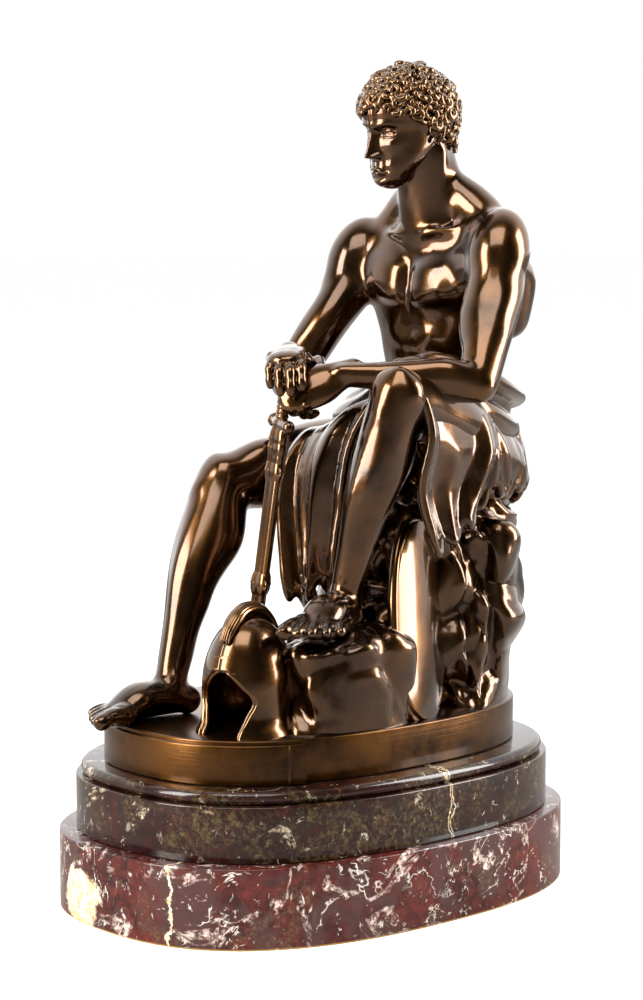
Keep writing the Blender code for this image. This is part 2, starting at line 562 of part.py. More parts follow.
def sword():
    """Short sword in its scabbard: disc pommel, waisted grip, straight guard and flat sheath."""
    axis = unit(SWORD_TIP - POMMEL)
    wide = across(LEFT + FORWARD * 0.5, axis)
    face = np.cross(axis, wide)
    length = np.linalg.norm(SWORD_TIP - POMMEL)

    def at(down, out=0.0):
        return POMMEL + axis * down + wide * out

    shapes = [ball(POMMEL, (0.095, 0.095, 0.075), face, axis)]
    shapes.append(strand([at(0.02), at(0.14), at(0.26), at(0.42)], [0.050, 0.062, 0.074, 0.060, 0.066], 20))
    shapes.append(strand([at(0.45, -0.23), at(0.45), at(0.45, 0.23)], [0.050, 0.058, 0.050]))
    for way in (-1, 1):
        shapes.append(ball(at(0.45, 0.23 * way), (0.070, 0.062, 0.070), face, axis, 14))
    shapes.append(limb([at(0.50), at(length * 0.5), at(length - 0.14)], [0.130, 0.124, 0.116, 0.104], face, wide,
                       flat=0.46, rings=24, sides=18))
    for down in (0.58, 0.80, length * 0.62, length - 0.32):
        shapes.append(limb([at(down), at(down + 0.05)], [0.142, 0.142], face, wide, flat=0.52, rings=4))
    shapes.append(ball(at(length - 0.07), (0.105, 0.105, 0.09), face, axis, 14))
    return shapes


def helmet():
    """Crested helmet standing on the terrace, open at the face, with cheek pieces and a neck guard."""
    place = HELMET
    turn = math.radians(14)
    look = np.array((math.sin(turn), -math.cos(turn), 0))
    side = np.cross(look, UP)
    v = np.linspace(0, 1, 30)
    u = np.linspace(-1, 1, 61)
    gap = 0.66 * np.where(v < 0.42, 1, np.clip((0.60 - v) / 0.18, 0, 1) ** 0.6)
    gap = gap + 0.18 * np.exp(-(((v - 0.30) / 0.09) ** 2)) - 0.12 * np.exp(-((v / 0.12) ** 2))
    bowl = np.sqrt(np.clip(1 - (np.clip(v - 0.42, 0, 1) / 0.585) ** 2, 0.0004, 1))
    out = bowl * (1 + 0.12 * np.exp(-((v / 0.10) ** 2)))
    angle = math.pi + u[None] * (math.pi - gap[:, None])
    x = np.sin(angle) * (0.32 * out)[:, None]
    y = np.cos(angle) * (0.38 * out)[:, None]
    height = np.broadcast_to((0.94 * v)[:, None], x.shape)
    grid = place + x[..., None] * side + y[..., None] * look + height[..., None] * UP
    shapes = [sheet(grid, 0.06)]
    sweep = np.linspace(-0.62, 0.62, 13) * math.pi
    brow = (place + (np.sin(sweep) * 0.330)[:, None] * side + (np.cos(sweep) * 0.400)[:, None] * look
            + (0.60 + 0.06 * np.cos(sweep * 2.2))[:, None] * UP)
    shapes.append(strand(brow, [0.030, 0.042, 0.030], 30))
    arc = np.linspace(0.62, 2.85, 15)
    ridge = place + (np.cos(arc) * 0.40)[:, None] * look + (0.46 + np.sin(arc) * 0.53)[:, None] * UP
    points, faces = limb(ridge, [0.06, 0.12, 0.14, 0.15, 0.14, 0.07], side, UP, rings=30)
    offset = (points - place) @ side
    shapes.append((points - (offset * 0.60)[:, None] * side, faces))
    for way in (-1, 1):
        shapes.append(ball(place + side * 0.315 * way + look * 0.10 + UP * 0.50, (0.04, 0.05, 0.05), look))
    return shapes


def shield():
    """Oval shield that leans against the rock: a curved board with a raised rim and a boss."""
    lean = unit(np.array((-0.20, 0.16, 1.0)))
    face = across(np.array((0.86, 0.30, 0.2)), lean)
    side = np.cross(lean, face)
    tall = SHIELD_TALL
    broad = 0.42
    middle = SHIELD + lean * tall
    u = np.linspace(-1, 1, 25)
    v = np.linspace(-1, 1, 33)
    reach = np.sqrt(np.clip(1 - np.abs(v) ** 2.6, 0.0009, 1))
    x = u[None] * reach[:, None] * broad
    z = np.broadcast_to((v * tall)[:, None], x.shape)
    dome = 0.15 * np.clip(1 - (x / broad) ** 2 * 0.9 - (v[:, None] ** 4) * 0.25, 0, 1)
    grid = middle + x[..., None] * side + z[..., None] * lean + dome[..., None] * face
    shapes = [sheet(grid, 0.10)]
    turn = np.linspace(0, 2 * math.pi, 33)
    rim_x = broad * np.sign(np.cos(turn)) * np.abs(np.cos(turn)) ** 0.85
    rim_z = tall * np.sign(np.sin(turn)) * np.abs(np.sin(turn)) ** 0.85
    rim = middle + rim_x[:, None] * side + rim_z[:, None] * lean - face * 0.02
    shapes.append(strand(rim, [0.045, 0.045, 0.045], 60))
    shapes.append(ball(middle + face * 0.14, (0.11, 0.07, 0.11), face, lean))
    return shapes


# Rock and cloak

def boulder(centre, radii, height, lumps, seed, lean=(0.0, 0.0), rows=44, columns=72, shrink=0.12):
    """Rock as a loft up its height. Its lumps have round backs with sharp creases between them."""
    v = np.linspace(0, 1, rows)[:, None]
    turn = np.linspace(0, 2 * math.pi, columns, endpoint=False)[None]
    rough = height * v
    warp = turn + 0.35 * np.sin(2.0 * turn + seed) + 0.45 * np.sin(2.6 * rough + seed * 1.7)
    swell = 0.50 * np.abs(np.sin(2.5 * warp + 2.9 * rough + seed)) ** 0.8
    swell = swell + 0.42 * np.abs(np.sin(1.5 * warp - 4.6 * rough + seed * 2.3)) ** 0.8
    swell = swell + 0.22 * np.abs(np.sin(4.5 * warp + 7.5 * rough + seed))
    close = np.sqrt(np.clip(1 - (np.clip(v - 0.80, 0, 1) / 0.205) ** 2, 0.003, 1))
    out = (1 - shrink * v + lumps * (swell - 0.62)) * (0.25 + 0.75 * close)
    x = centre[0] + radii[0] * out * np.cos(turn) + lean[0] * v
    y = centre[1] + radii[1] * out * np.sin(turn) + lean[1] * v
    z = np.broadcast_to(-SINK + (height + SINK) * v, x.shape)
    return np.stack([x, y, z], -1).reshape(-1, 3), loft_faces(rows, columns)


def rock():
    """Rock that he sits on, the ledge under his raised foot and loose stones round them."""
    return [boulder((0.12, 1.06), (0.86, 0.76), 1.86, 0.32, 0.6, lean=(0.02, 0.06), rows=60, columns=110, shrink=-0.10),
            boulder((0.62, 1.16), (0.46, 0.52), 1.66, 0.40, 2.1, rows=60, columns=90, shrink=0.0),
            boulder((0.84, -0.38), (0.46, 0.58), 0.82, 0.20, 4.0, rows=30, shrink=0.02),
            boulder((0.50, 0.20), (0.50, 0.44), 1.05, 0.30, 1.3, rows=30),
            boulder((-0.46, 1.28), (0.42, 0.40), 1.24, 0.36, 3.2, rows=30),
            boulder((-0.50, 0.62), (0.30, 0.32), 0.42, 0.26, 5.2, rows=16, columns=30)]


def folds(u, v, count, drift, seed):
    """Height from 0 to 1 of draped folds across u: round backs with narrow valleys, drifting down v."""
    wave = count * u + drift * v + 0.35 * np.sin(3.1 * v + seed) * u + seed
    backs = np.abs(np.sin(math.pi * wave)) ** 0.8
    small = np.abs(np.sin(math.pi * (1.9 * wave + 0.4 + 0.6 * v)))
    return 0.76 * backs + 0.24 * small


def drape(edge_a, edge_b, outward, count, depth, drift=0.0, seed=0.0, hem=0.0, gather=0.35, belly=0.0,
          thickness=0.075, rows=40, columns=72):
    """Cloth between two edges. Folds run down it and deepen, and its hem steps in zigzags."""
    v = np.linspace(0, 1, rows)
    u = np.linspace(0, 1, columns)
    grid = (through(edge_a, v)[:, None] * (1 - u)[None, :, None] + through(edge_b, v)[:, None] * u[None, :, None])
    uu = u[None]
    vv = v[:, None]
    rise = folds(uu, vv, count, drift, seed) * depth * (gather + (1 - gather) * vv)
    rise = rise + belly * np.sin(math.pi * uu) * np.sqrt(np.sin(math.pi * vv).clip(0, 1))
    zigzag = hem * (np.abs(np.mod(count * uu + drift * vv + seed, 1.0) - 0.5) * 2 - 0.5) * vv ** 3
    return sheet(grid + unit(outward) * rise[..., None] + UP * zigzag[..., None], thickness)


def cloak():
    """Cloak over the lap and the seat, falling between the knees and down over the rock."""
    shapes = [drape([(-0.44, 0.62, 2.36), (-0.24, 0.10, 2.32), (-0.18, -0.16, 1.95), (-0.12, -0.18, 1.3),
                     (-0.06, -0.16, 0.90)],
                    [(0.95, 0.55, 2.80), (0.80, 0.02, 2.74), (0.60, -0.16, 2.3), (0.52, -0.20, 1.6),
                     (0.48, -0.18, 1.16)],
                    (0.12, -1.0, 0.30), 3.6, 0.20, drift=0.5, seed=0.2, hem=0.20)]
    shapes.append(drape([(0.86, -0.06, 3.00), (1.24, -0.02, 2.86), (1.38, 0.04, 2.45), (1.34, 0.10, 1.95),
                         (1.30, 0.12, 1.42)],
                        [(0.62, 0.90, 2.70), (1.04, 0.96, 2.60), (1.18, 1.00, 2.25), (1.16, 0.96, 1.95),
                         (1.12, 0.90, 1.74)],
                        (0.95, -0.28, 0.25), 3.0, 0.17, drift=0.6, seed=0.7, hem=0.13))
    shapes.append(drape([(0.60, 0.86, 2.70), (1.04, 0.92, 2.55), (1.20, 0.98, 2.25), (1.18, 0.98, 1.92)],
                        [(0.50, 1.52, 2.48), (0.76, 1.64, 2.34), (0.86, 1.68, 2.08), (0.84, 1.64, 1.84)],
                        (0.90, 0.30, 0.40), 2.6, 0.13, drift=-0.5, seed=0.3, hem=0.10, rows=30))
    shapes.append(drape([(0.56, 1.50, 2.50), (0.74, 1.68, 2.34), (0.84, 1.72, 1.86)],
                        [(0.08, 2.02, 2.40), (0.12, 2.20, 2.10), (0.14, 2.20, 1.66)],
                        (0.62, 0.72, 0.55), 3.2, 0.12, drift=0.2, seed=0.4, hem=0.12, rows=26, columns=50))
    shapes.append(drape([(0.12, 2.02, 2.40), (0.16, 2.20, 2.10), (0.18, 2.20, 1.68)],
                        [(-0.58, 1.56, 2.38), (-0.80, 1.62, 2.05), (-0.82, 1.54, 1.62)],
                        (-0.55, 0.75, 0.45), 4.0, 0.12, drift=0.2, seed=0.9, hem=0.12, rows=26, columns=50))
    bundle = np.array([(-0.78, 1.30, 2.25), (-0.42, 0.86, 2.46), (0.12, 0.66, 2.58), (0.66, 0.62, 2.80),
                       (0.98, 0.90, 2.70), (0.84, 1.38, 2.53), (0.56, 1.76, 2.46), (0.08, 1.95, 2.44)])
    for number, (lift, size) in enumerate(((0.0, 0.115), (0.12, 0.095), (-0.08, 0.10), (0.20, 0.07))):
        path = bundle + UP * lift + np.array((0.05, 0.05, 0)) * (number - 1.5)
        ridges = [(0.08 + 0.09 * k, 60 + 150 * math.sin(k * 1.3 + number), 0.4, 0.05, 34) for k in range(11)]
        shapes.append(limb(path, np.array((0.8, 1.25, 1.0, 1.2, 0.9)) * size, UP, LEFT, ridges, rings=60))
    return shapes


# Making the solids

def join(name, shapes, scale, lift):
    """One mesh object from several closed shapes, scaled and lifted to its place."""
    points = []
    faces = []
    count = 0
    for shape_points, shape_faces in shapes:
        points.append(shape_points)
        faces += [[i + count for i in face] for face in shape_faces]
        count += len(shape_points)
    mesh = bpy.data.meshes.new(name)
    mesh.from_pydata((np.concatenate(points) * scale + UP * lift).tolist(), [], faces)
    mesh.validate()
    return bpy.data.objects.new(name, mesh)


def oval(length, width, turns):
    """Points of a superellipse with its length along Y."""
    c = np.cos(turns)
    s = np.sin(turns)
    r = (np.abs(c) ** OVAL_POWER + np.abs(s) ** OVAL_POWER) ** (-1 / OVAL_POWER)
    return np.column_stack([width / 2 * r * c, length / 2 * r * s])


def plate(name, outline, bottom, top, ease):
    """Flat slab of a plan outline, with its edges rounded by the ease."""
    curve = bpy.data.curves.new(name, "CURVE")
    curve.dimensions = "2D"
    curve.fill_mode = "BOTH"
    curve.extrude = (top - bottom) / 2 - ease
    curve.bevel_depth = ease
    curve.bevel_resolution = 1 if ease > 2 * EDGE_EASE else 0
    curve.offset = -ease
    spline = curve.splines.new("POLY")
    spline.points.add(len(outline) - 1)
    spline.points.foreach_set("co", np.column_stack([outline, np.zeros(len(outline)), np.ones(len(outline))]).ravel())
    spline.use_cyclic_u = True
    flat = bpy.data.objects.new(name, curve)
    mesh = bpy.data.meshes.new_from_object(flat)
    bpy.data.objects.remove(flat)
    bpy.data.curves.remove(curve)
    shape = bmesh.new()
    shape.from_mesh(mesh)
    bmesh.ops.remove_doubles(shape, verts=shape.verts[:], dist=1e-6)
    bmesh.ops.translate(shape, verts=shape.verts[:], vec=(0, 0, (top + bottom) / 2))
    shape.to_mesh(mesh)
    shape.free()
    return bpy.data.objects.new(name, mesh)


def coloured(obj, colour, roughness, metallic):
    material = bpy.data.materials.new(obj.name)
    material.use_nodes = True
    shader = material.node_tree.nodes["Principled BSDF"]
    shader.inputs["Base Color"].default_value = (*colour, 1)
    shader.inputs["Roughness"].default_value = roughness
    shader.inputs["Metallic"].default_value = metallic
    obj.data.materials.clear()
    obj.data.materials.append(material)


def union(obj, others):
    """Joins closed meshes into one body."""
    for other in others:
        bpy.context.scene.collection.objects.link(other)
        cut = obj.modifiers.new(other.name, "BOOLEAN")
        cut.operation = "UNION"
        cut.object = other
    settle(obj)
    for other in others:
        bpy.data.objects.remove(other)


def terrace(top):
    """Oval bronze terrace, and the slightly lower block that carries the forward foot."""
    bottom = top - TERRACE_HEIGHT
    turns = np.linspace(0, 2 * math.pi, OVAL_POINTS, endpoint=False)
    main = plate("terrace", oval(TERRACE_LENGTH, TERRACE_WIDTH, turns), bottom, top, EDGE_EASE)
    wide = oval(TERRACE_LENGTH + 2 * BLOCK_PROUD, TERRACE_WIDTH + 2 * BLOCK_PROUD, turns)
    front = wide[wide[:, 1] < BLOCK_REACH - TERRACE_LENGTH / 2]
    return main, plate("block", front, bottom, top - BLOCK_DROP, EDGE_EASE)


def cut_below(obj, height):
    """Cuts the mesh off flat at a height and closes it."""
    mesh = bmesh.new()
    mesh.from_mesh(obj.data)
    cut = bmesh.ops.bisect_plane(mesh, geom=mesh.verts[:] + mesh.edges[:] + mesh.faces[:],
                                 plane_co=(0, 0, height), plane_no=(0, 0, 1), clear_inner=True)
    rim = [e for e in cut["geom_cut"] if isinstance(e, bmesh.types.BMEdge)]
    bmesh.ops.holes_fill(mesh, edges=rim, sides=0)
    bmesh.ops.triangulate(mesh, faces=mesh.faces[:])
    mesh.to_mesh(obj.data)
    mesh.free()


def keep_largest(obj):
    """Removes loose islands, so that the casting is one body."""
    mesh = bmesh.new()
    mesh.from_mesh(obj.data)
    unseen = set(mesh.verts)
    islands = []
    while unseen:
        island = [unseen.pop()]
        for vert in island:
            for edge in vert.link_edges:
                other = edge.other_vert(vert)
                if other in unseen:
                    unseen.remove(other)
                    island.append(other)
        islands.append(island)
    islands.sort(key=len)
    for island in islands[:-1]:
        bmesh.ops.delete(mesh, geom=island, context="VERTS")
    mesh.to_mesh(obj.data)
    mesh.free()


def thin_out(obj, top):
    """Reduces the mesh to a number of triangles in each region, and in what is left outside them."""
    regions = [("head", (SKULL,), 0.66, HEAD_TRIANGLES), ("hands", (WRIST_R, WRIST_L), 0.80, HAND_TRIANGLES),
               ("helmet", (HELMET + UP * 0.45,), 0.66, HELMET_TRIANGLES),
               ("feet", (ANKLE_R, ANKLE_L), 0.95, FOOT_TRIANGLES),
               ("shield", (SHIELD + UP * SHIELD_TALL,), SHIELD_TALL, SHIELD_TRIANGLES)]
    others = [(centre, reach) for _, centres, reach, _ in regions for centre in centres]
    for name, centres, reach, kept in regions + [("other", (), 0.0, OTHER_TRIANGLES)]:
        points = np.empty(len(obj.data.vertices) * 3)
        obj.data.vertices.foreach_get("co", points)
        points = (points.reshape(-1, 3) - UP * top) / HEAD
        inside = near(points, [(centre, reach) for centre in centres]) if centres else ~near(points, others)
        group = obj.vertex_groups.new(name=name)
        group.add(np.flatnonzero(inside).tolist(), 1, "REPLACE")
        facets = obj.modifiers.new(name, "DECIMATE")
        facets.ratio = 1 - (2 * np.count_nonzero(inside) - kept) / (2 * len(points))
        facets.use_collapse_triangulate = True
        facets.vertex_group = name
        settle(obj)


def near(points, spheres):
    """Which points lie in any of the spheres, each a centre and a radius."""
    return np.any([np.linalg.norm(points - centre, axis=1) < reach for centre, reach in spheres], axis=0)


def bronze_group(collection, top):
    """Figure, arms, rock and cloak as one casting with its terrace."""
    shapes = [trunk()] + shoulders() + head() + rock() + cloak() + sword() + helmet() + shield()
    shapes += arm(SHOULDER_R, elbow_r(), WRIST_R, -1) + arm(SHOULDER_L, elbow_l(), WRIST_L, 1)
    shapes += leg(HIP_R, KNEE_R, ANKLE_R, -1) + leg(HIP_L, KNEE_L, ANKLE_L, 1)
    shapes += foot(ANKLE_R, (0.02, -1, 0), -1, 0.0) + foot(ANKLE_L, (0.40, -0.92, 0), 1, 0.79)
    shapes += hand(WRIST_R, POMMEL + (0.10, -0.12, 0.10) - WRIST_R, (0.0, 0.1, -1), (0.8, 0.5, 0.2),
                   ((26, 34, 22), (28, 36, 24), (30, 38, 24), (32, 38, 26)), (0.35, -0.25, -0.75))
    shapes += hand(WRIST_L, POMMEL + (0.06, -0.02, -0.22) - WRIST_L, (-0.35, 0.72, -0.30), (0, 0, 1),
                   ((62, 62, 40), (64, 62, 40), (66, 62, 40), (68, 60, 40)), (-0.55, 0.35, 0.25))
    obj = join("bronze_group", shapes, HEAD, top)
    collection.objects.link(obj)
    skin = obj.modifiers.new("skin", "REMESH")
    skin.mode = "VOXEL"
    skin.voxel_size = VOXEL
    soften = obj.modifiers.new("soften", "SMOOTH")
    soften.factor = 0.5
    soften.iterations = 4
    settle(obj)
    keep_largest(obj)
    thin_out(obj, top)
    cut_below(obj, top - SINK * HEAD / 2)
    union(obj, terrace(top))
    coloured(obj, (0.115, 0.055, 0.022), 0.28, 1.0)


def lower_slab(collection):
    outline = oval(LOWER_LENGTH, LOWER_WIDTH, np.linspace(0, 2 * math.pi, OVAL_POINTS, endpoint=False))
    obj = plate("marble_lower_tier", outline, 0, LOWER_HEIGHT, EDGE_EASE)
    collection.objects.link(obj)
    coloured(obj, (0.17, 0.045, 0.04), 0.18, 0.0)


def upper_slab(collection):
    """Upper slab with the roll on it. Returns the height of its top."""
    bottom = LOWER_HEIGHT + GAP
    top = bottom + UPPER_HEIGHT
    turns = np.linspace(0, 2 * math.pi, OVAL_POINTS, endpoint=False)
    shelf = top - 2 * ROLL_RADIUS + EDGE_EASE
    obj = plate("marble_upper_tier", oval(UPPER_LENGTH, UPPER_WIDTH, turns), bottom, shelf, EDGE_EASE)
    collection.objects.link(obj)
    rolled = oval(UPPER_LENGTH - 2 * ROLL_INSET, UPPER_WIDTH - 2 * ROLL_INSET, turns)
    union(obj, [plate("roll", rolled, top - 2 * ROLL_RADIUS, top, ROLL_RADIUS)])
    coloured(obj, (0.13, 0.05, 0.04), 0.18, 0.0)
    return top


def main():
    for old in list(bpy.data.objects):
        bpy.data.objects.remove(old)
    collection = bpy.data.collections.new("seated_warrior")
    bpy.context.scene.collection.children.link(collection)
    lower_slab(collection)
    marble_top = upper_slab(collection)
    bronze_group(collection, marble_top + GAP + TERRACE_HEIGHT)


main()
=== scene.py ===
import math

import bpy
import numpy as np
from mathutils import Matrix, Vector


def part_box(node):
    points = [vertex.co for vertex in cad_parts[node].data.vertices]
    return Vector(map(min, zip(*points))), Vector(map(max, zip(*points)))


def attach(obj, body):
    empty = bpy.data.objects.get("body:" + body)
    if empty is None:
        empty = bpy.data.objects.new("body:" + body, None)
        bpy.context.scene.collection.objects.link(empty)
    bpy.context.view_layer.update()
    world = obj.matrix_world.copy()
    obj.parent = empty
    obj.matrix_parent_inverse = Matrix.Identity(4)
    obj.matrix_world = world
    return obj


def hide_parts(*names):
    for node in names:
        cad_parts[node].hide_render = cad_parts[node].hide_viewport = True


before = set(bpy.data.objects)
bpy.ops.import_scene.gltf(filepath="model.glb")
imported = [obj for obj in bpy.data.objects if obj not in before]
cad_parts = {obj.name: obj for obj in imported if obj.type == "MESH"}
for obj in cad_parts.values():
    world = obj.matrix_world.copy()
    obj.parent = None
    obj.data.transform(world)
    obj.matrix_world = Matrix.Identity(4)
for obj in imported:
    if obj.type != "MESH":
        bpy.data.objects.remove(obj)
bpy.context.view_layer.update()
print("frame loaded")

bronzeLow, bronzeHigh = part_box("bronze_group")
lowerLow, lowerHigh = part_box("marble_lower_tier")
upperLow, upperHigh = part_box("marble_upper_tier")

terraceSize = {"length": 0.312, "width": 0.212, "height": 0.030, "blockReach": 0.062, "blockProud": 0.004,
               "blockDrop": 0.0025, "ease": 0.0012, "seam": (0.0921, -0.1058), "seamHalf": 0.0007}
marbleSize = {"power": 2.5, "ease": 0.0011, "rollRadius": 0.0046, "rollInset": 0.0035, "points": 360}

headSize = 0.0815   # every place on the figure is in heads, from the middle of the terrace's top
groundHeight = bronzeLow.z + terraceSize["height"]

up = np.array((0.0, 0.0, 1.0))
ahead = np.array((0.0, -1.0, 0.0))
leftward = np.array((1.0, 0.0, 0.0))

pose = {
    "hipR": np.array((-0.38, 1.47, 2.02)), "hipL": np.array((0.48, 1.47, 2.02)),
    "kneeR": np.array((-0.72, -0.45, 1.93)), "kneeL": np.array((1.17, -0.12, 2.76)),
    "ankleR": np.array((-0.36, -1.35, 0.32)), "ankleL": np.array((0.76, -0.36, 1.06)),
    "shoulderR": np.array((-0.60, 1.22, 3.93)), "shoulderL": np.array((0.98, 1.27, 4.00)),
    "wristR": np.array((0.08, -0.36, 3.10)), "wristL": np.array((0.66, -0.30, 2.93)),
    "upperArm": 1.46, "forearm": 1.16, "ledge": 0.79,
    "skull": np.array((0.20, 0.90, 5.04)), "headNod": 13, "headTurn": -4, "headTilt": 3,
    "pommel": np.array((0.34, -0.62, 2.96)), "swordTip": np.array((0.02, -0.84, 0.06)),
    "helmet": np.array((0.52, -1.22, -0.02)), "helmetTurn": 14,
    "shield": np.array((1.15, 0.18, -0.02)),
}


# Curves and surfaces: every shape is a grid of points and the faces between them

def smoothThrough(knots, t):
    # cubic curve through evenly spaced knots, its slope at each knot being half the step over it
    k = np.asarray(knots, float)
    s = np.clip(t, 0, 1) * (len(k) - 1)
    i = np.minimum(s.astype(int), len(k) - 2)
    f = (s - i).reshape(-1, *[1] * (k.ndim - 1))
    slope = np.gradient(k, axis=0)
    ease = f * f * (3 - 2 * f)
    bend = slope[i] * f * (1 - f) ** 2 - slope[i + 1] * f * f * (1 - f)
    return k[i] * (1 - ease) + k[i + 1] * ease + bend


def unit(v):
    v = np.asarray(v, float)
    return v / np.maximum(np.linalg.norm(v, axis=-1, keepdims=True), 1e-9)


def across(v, axis):
    # v less its share along the axis, as a unit vector
    axis = unit(axis)
    v = np.asarray(v, float)
    return unit(v - np.sum(v * axis, axis=-1, keepdims=True) * axis)


def ramp(x, start, end):
    s = np.clip((x - start) / (end - start), 0, 1)
    return s * s * (3 - 2 * s)


def hump(x, z, x0, z0, wide, tall, height):
    # round rise: height times e to the minus square of the distance
    return height * np.exp(-(((x - x0) / wide) ** 2) - (((z - z0) / tall) ** 2))


def hashed(cell, seed):
    n = cell[..., 0] * 374761393 + cell[..., 1] * 668265263 + cell[..., 2] * 1274126177 + seed * 974634777
    n = (n ^ (n >> 13)) * 1274126177
    return ((n ^ (n >> 16)) & 0xFFFF) / 65535


def noiseAt(points, size, seed):
    # value noise from 0 to 1: random values on a lattice, blended smoothly over the eight corners
    place = points / size
    cell = np.floor(place).astype(np.int64)
    f = place - cell
    f = f * f * f * (f * (f * 6 - 15) + 10)
    total = np.zeros(points.shape[:-1])
    for corner in range(8):
        step = np.array(((corner >> 2) & 1, (corner >> 1) & 1, corner & 1))
        weight = np.prod(np.where(step == 1, f, 1 - f), axis=-1)
        total += weight * hashed(cell + step, seed)
    return total


def loftFaces(rings, sides):
    # quads between closed rings, and one face over each end
    i = np.arange(rings - 1)[:, None] * sides
    j = np.arange(sides)[None]
    k = (j + 1) % sides
    quads = np.stack([i + j, i + k, i + sides + k, i + sides + j], -1).reshape(-1, 4).tolist()
    return quads + [list(range(sides))[::-1], list(range((rings - 1) * sides, rings * sides))]


def limb(path, radius, front, side=leftward, bumps=(), flat=1.0, rings=18, sides=20):
    # a circle carried along a path, with round ends; each bump swells it by its height times
    # e to the minus square of the distance, counted along the path and round from the front
    cap = np.linspace(0, 0.5 * math.pi, 6)[1:]
    cap[-1] -= 0.10
    t = np.concatenate([np.zeros(5), np.linspace(0, 1, rings), np.ones(5)])
    push = np.concatenate([-np.sin(cap[::-1]), np.zeros(rings), np.sin(cap)])
    shrink = np.concatenate([np.cos(cap[::-1]), np.ones(rings), np.cos(cap)])
    centre = smoothThrough(path, t)
    heading = unit(np.gradient(smoothThrough(path, np.linspace(0, 1, rings)), axis=0))
    heading = np.concatenate([np.repeat(heading[:1], 5, 0), heading, np.repeat(heading[-1:], 5, 0)])
    facing = across(np.broadcast_to(front, heading.shape), heading)
    beside = np.cross(heading, facing)
    mirrored = np.sum(beside * side) < 0
    beside = -beside if mirrored else beside
    angle = np.linspace(0, 360, sides, endpoint=False)
    swell = np.ones((len(t), sides))
    for place, aim, height, length, spread in bumps:
        along = np.exp(-(((t - place) / length) ** 2))
        around = np.exp(-((((angle - aim + 180) % 360 - 180) / spread) ** 2))
        swell += height * along[:, None] * around[None]
    r = smoothThrough(radius, t)
    centre = centre + heading * (push * r)[:, None]
    out = (r * shrink)[:, None] * swell
    turn = np.radians(angle)
    forward = np.cos(turn)[None, :, None] * flat * facing[:, None]
    sideways = np.sin(turn)[None, :, None] * beside[:, None]
    points = centre[:, None] + out[..., None] * (forward + sideways)
    faces = loftFaces(len(t), sides)
    return points.reshape(-1, 3), [face[::-1] for face in faces] if mirrored else faces


def ball(centre, radii, front=ahead, upward=up, rings=14, sides=24):
    # ellipsoid of three radii, to the side, ahead and up
    upward = unit(upward)
    front = across(front, upward)
    side = np.cross(upward, front)
    lat = np.linspace(-0.49, 0.49, rings)[:, None] * math.pi
    turn = np.linspace(0, 2 * math.pi, sides, endpoint=False)[None]
    grid = np.stack([np.cos(lat) * np.cos(turn) * radii[0], np.cos(lat) * np.sin(turn) * radii[1],
                     np.sin(lat) * np.ones_like(turn) * radii[2]], -1)
    points = np.asarray(centre) + grid.reshape(-1, 3) @ np.stack([-side, front, upward])
    return points, [face[::-1] for face in loftFaces(rings, sides)]


def strand(path, radius, rings=22, sides=10):
    # a circle carried along a path; its frame starts from the direction in which the path is flattest
    t = np.linspace(0, 1, rings)
    centre = smoothThrough(path, t)
    heading = unit(np.gradient(centre, axis=0))
    flattest = np.linalg.svd(centre - centre.mean(0))[2][2]
    side = across(np.broadcast_to(flattest, heading.shape), heading)
    other = np.cross(heading, side)
    size = smoothThrough(radius, t) * np.sqrt(np.clip(1 - np.abs(2 * t - 1) ** 12, 0.04, 1))
    turn = np.linspace(0, 2 * math.pi, sides, endpoint=False)
    points = centre[:, None] + size[:, None, None] * (
        np.cos(turn)[None, :, None] * side[:, None] + np.sin(turn)[None, :, None] * other[:, None])
    return points.reshape(-1, 3), loftFaces(rings, sides)


def sheet(grid, thickness, outward=None):
    # a grid of points and its copy set back by the thickness, joined round the four edges; the way out is
    # the one given, or the surface's own
    rows, columns = grid.shape[:2]
    if outward is None:
        outward = np.cross(np.gradient(grid, axis=1), np.gradient(grid, axis=0))
    normal = np.broadcast_to(unit(outward), grid.shape)
    count = rows * columns
    i = np.arange(rows - 1)[:, None] * columns
    j = np.arange(columns - 1)[None]
    front = np.stack([i + j, i + j + 1, i + columns + j + 1, i + columns + j], -1).reshape(-1, 4)
    edge = np.concatenate([np.arange(columns), np.arange(1, rows) * columns + columns - 1,
                           (rows - 1) * columns + np.arange(columns - 1)[::-1],
                           np.arange(1, rows - 1)[::-1] * columns])
    following = np.roll(edge, -1)
    wall = np.stack([following, edge, edge + count, following + count], -1)
    faces = np.concatenate([front, front[:, ::-1] + count, wall])
    points = np.concatenate([grid.reshape(-1, 3), (grid - normal * thickness).reshape(-1, 3)])
    return points, faces.tolist()


# The body

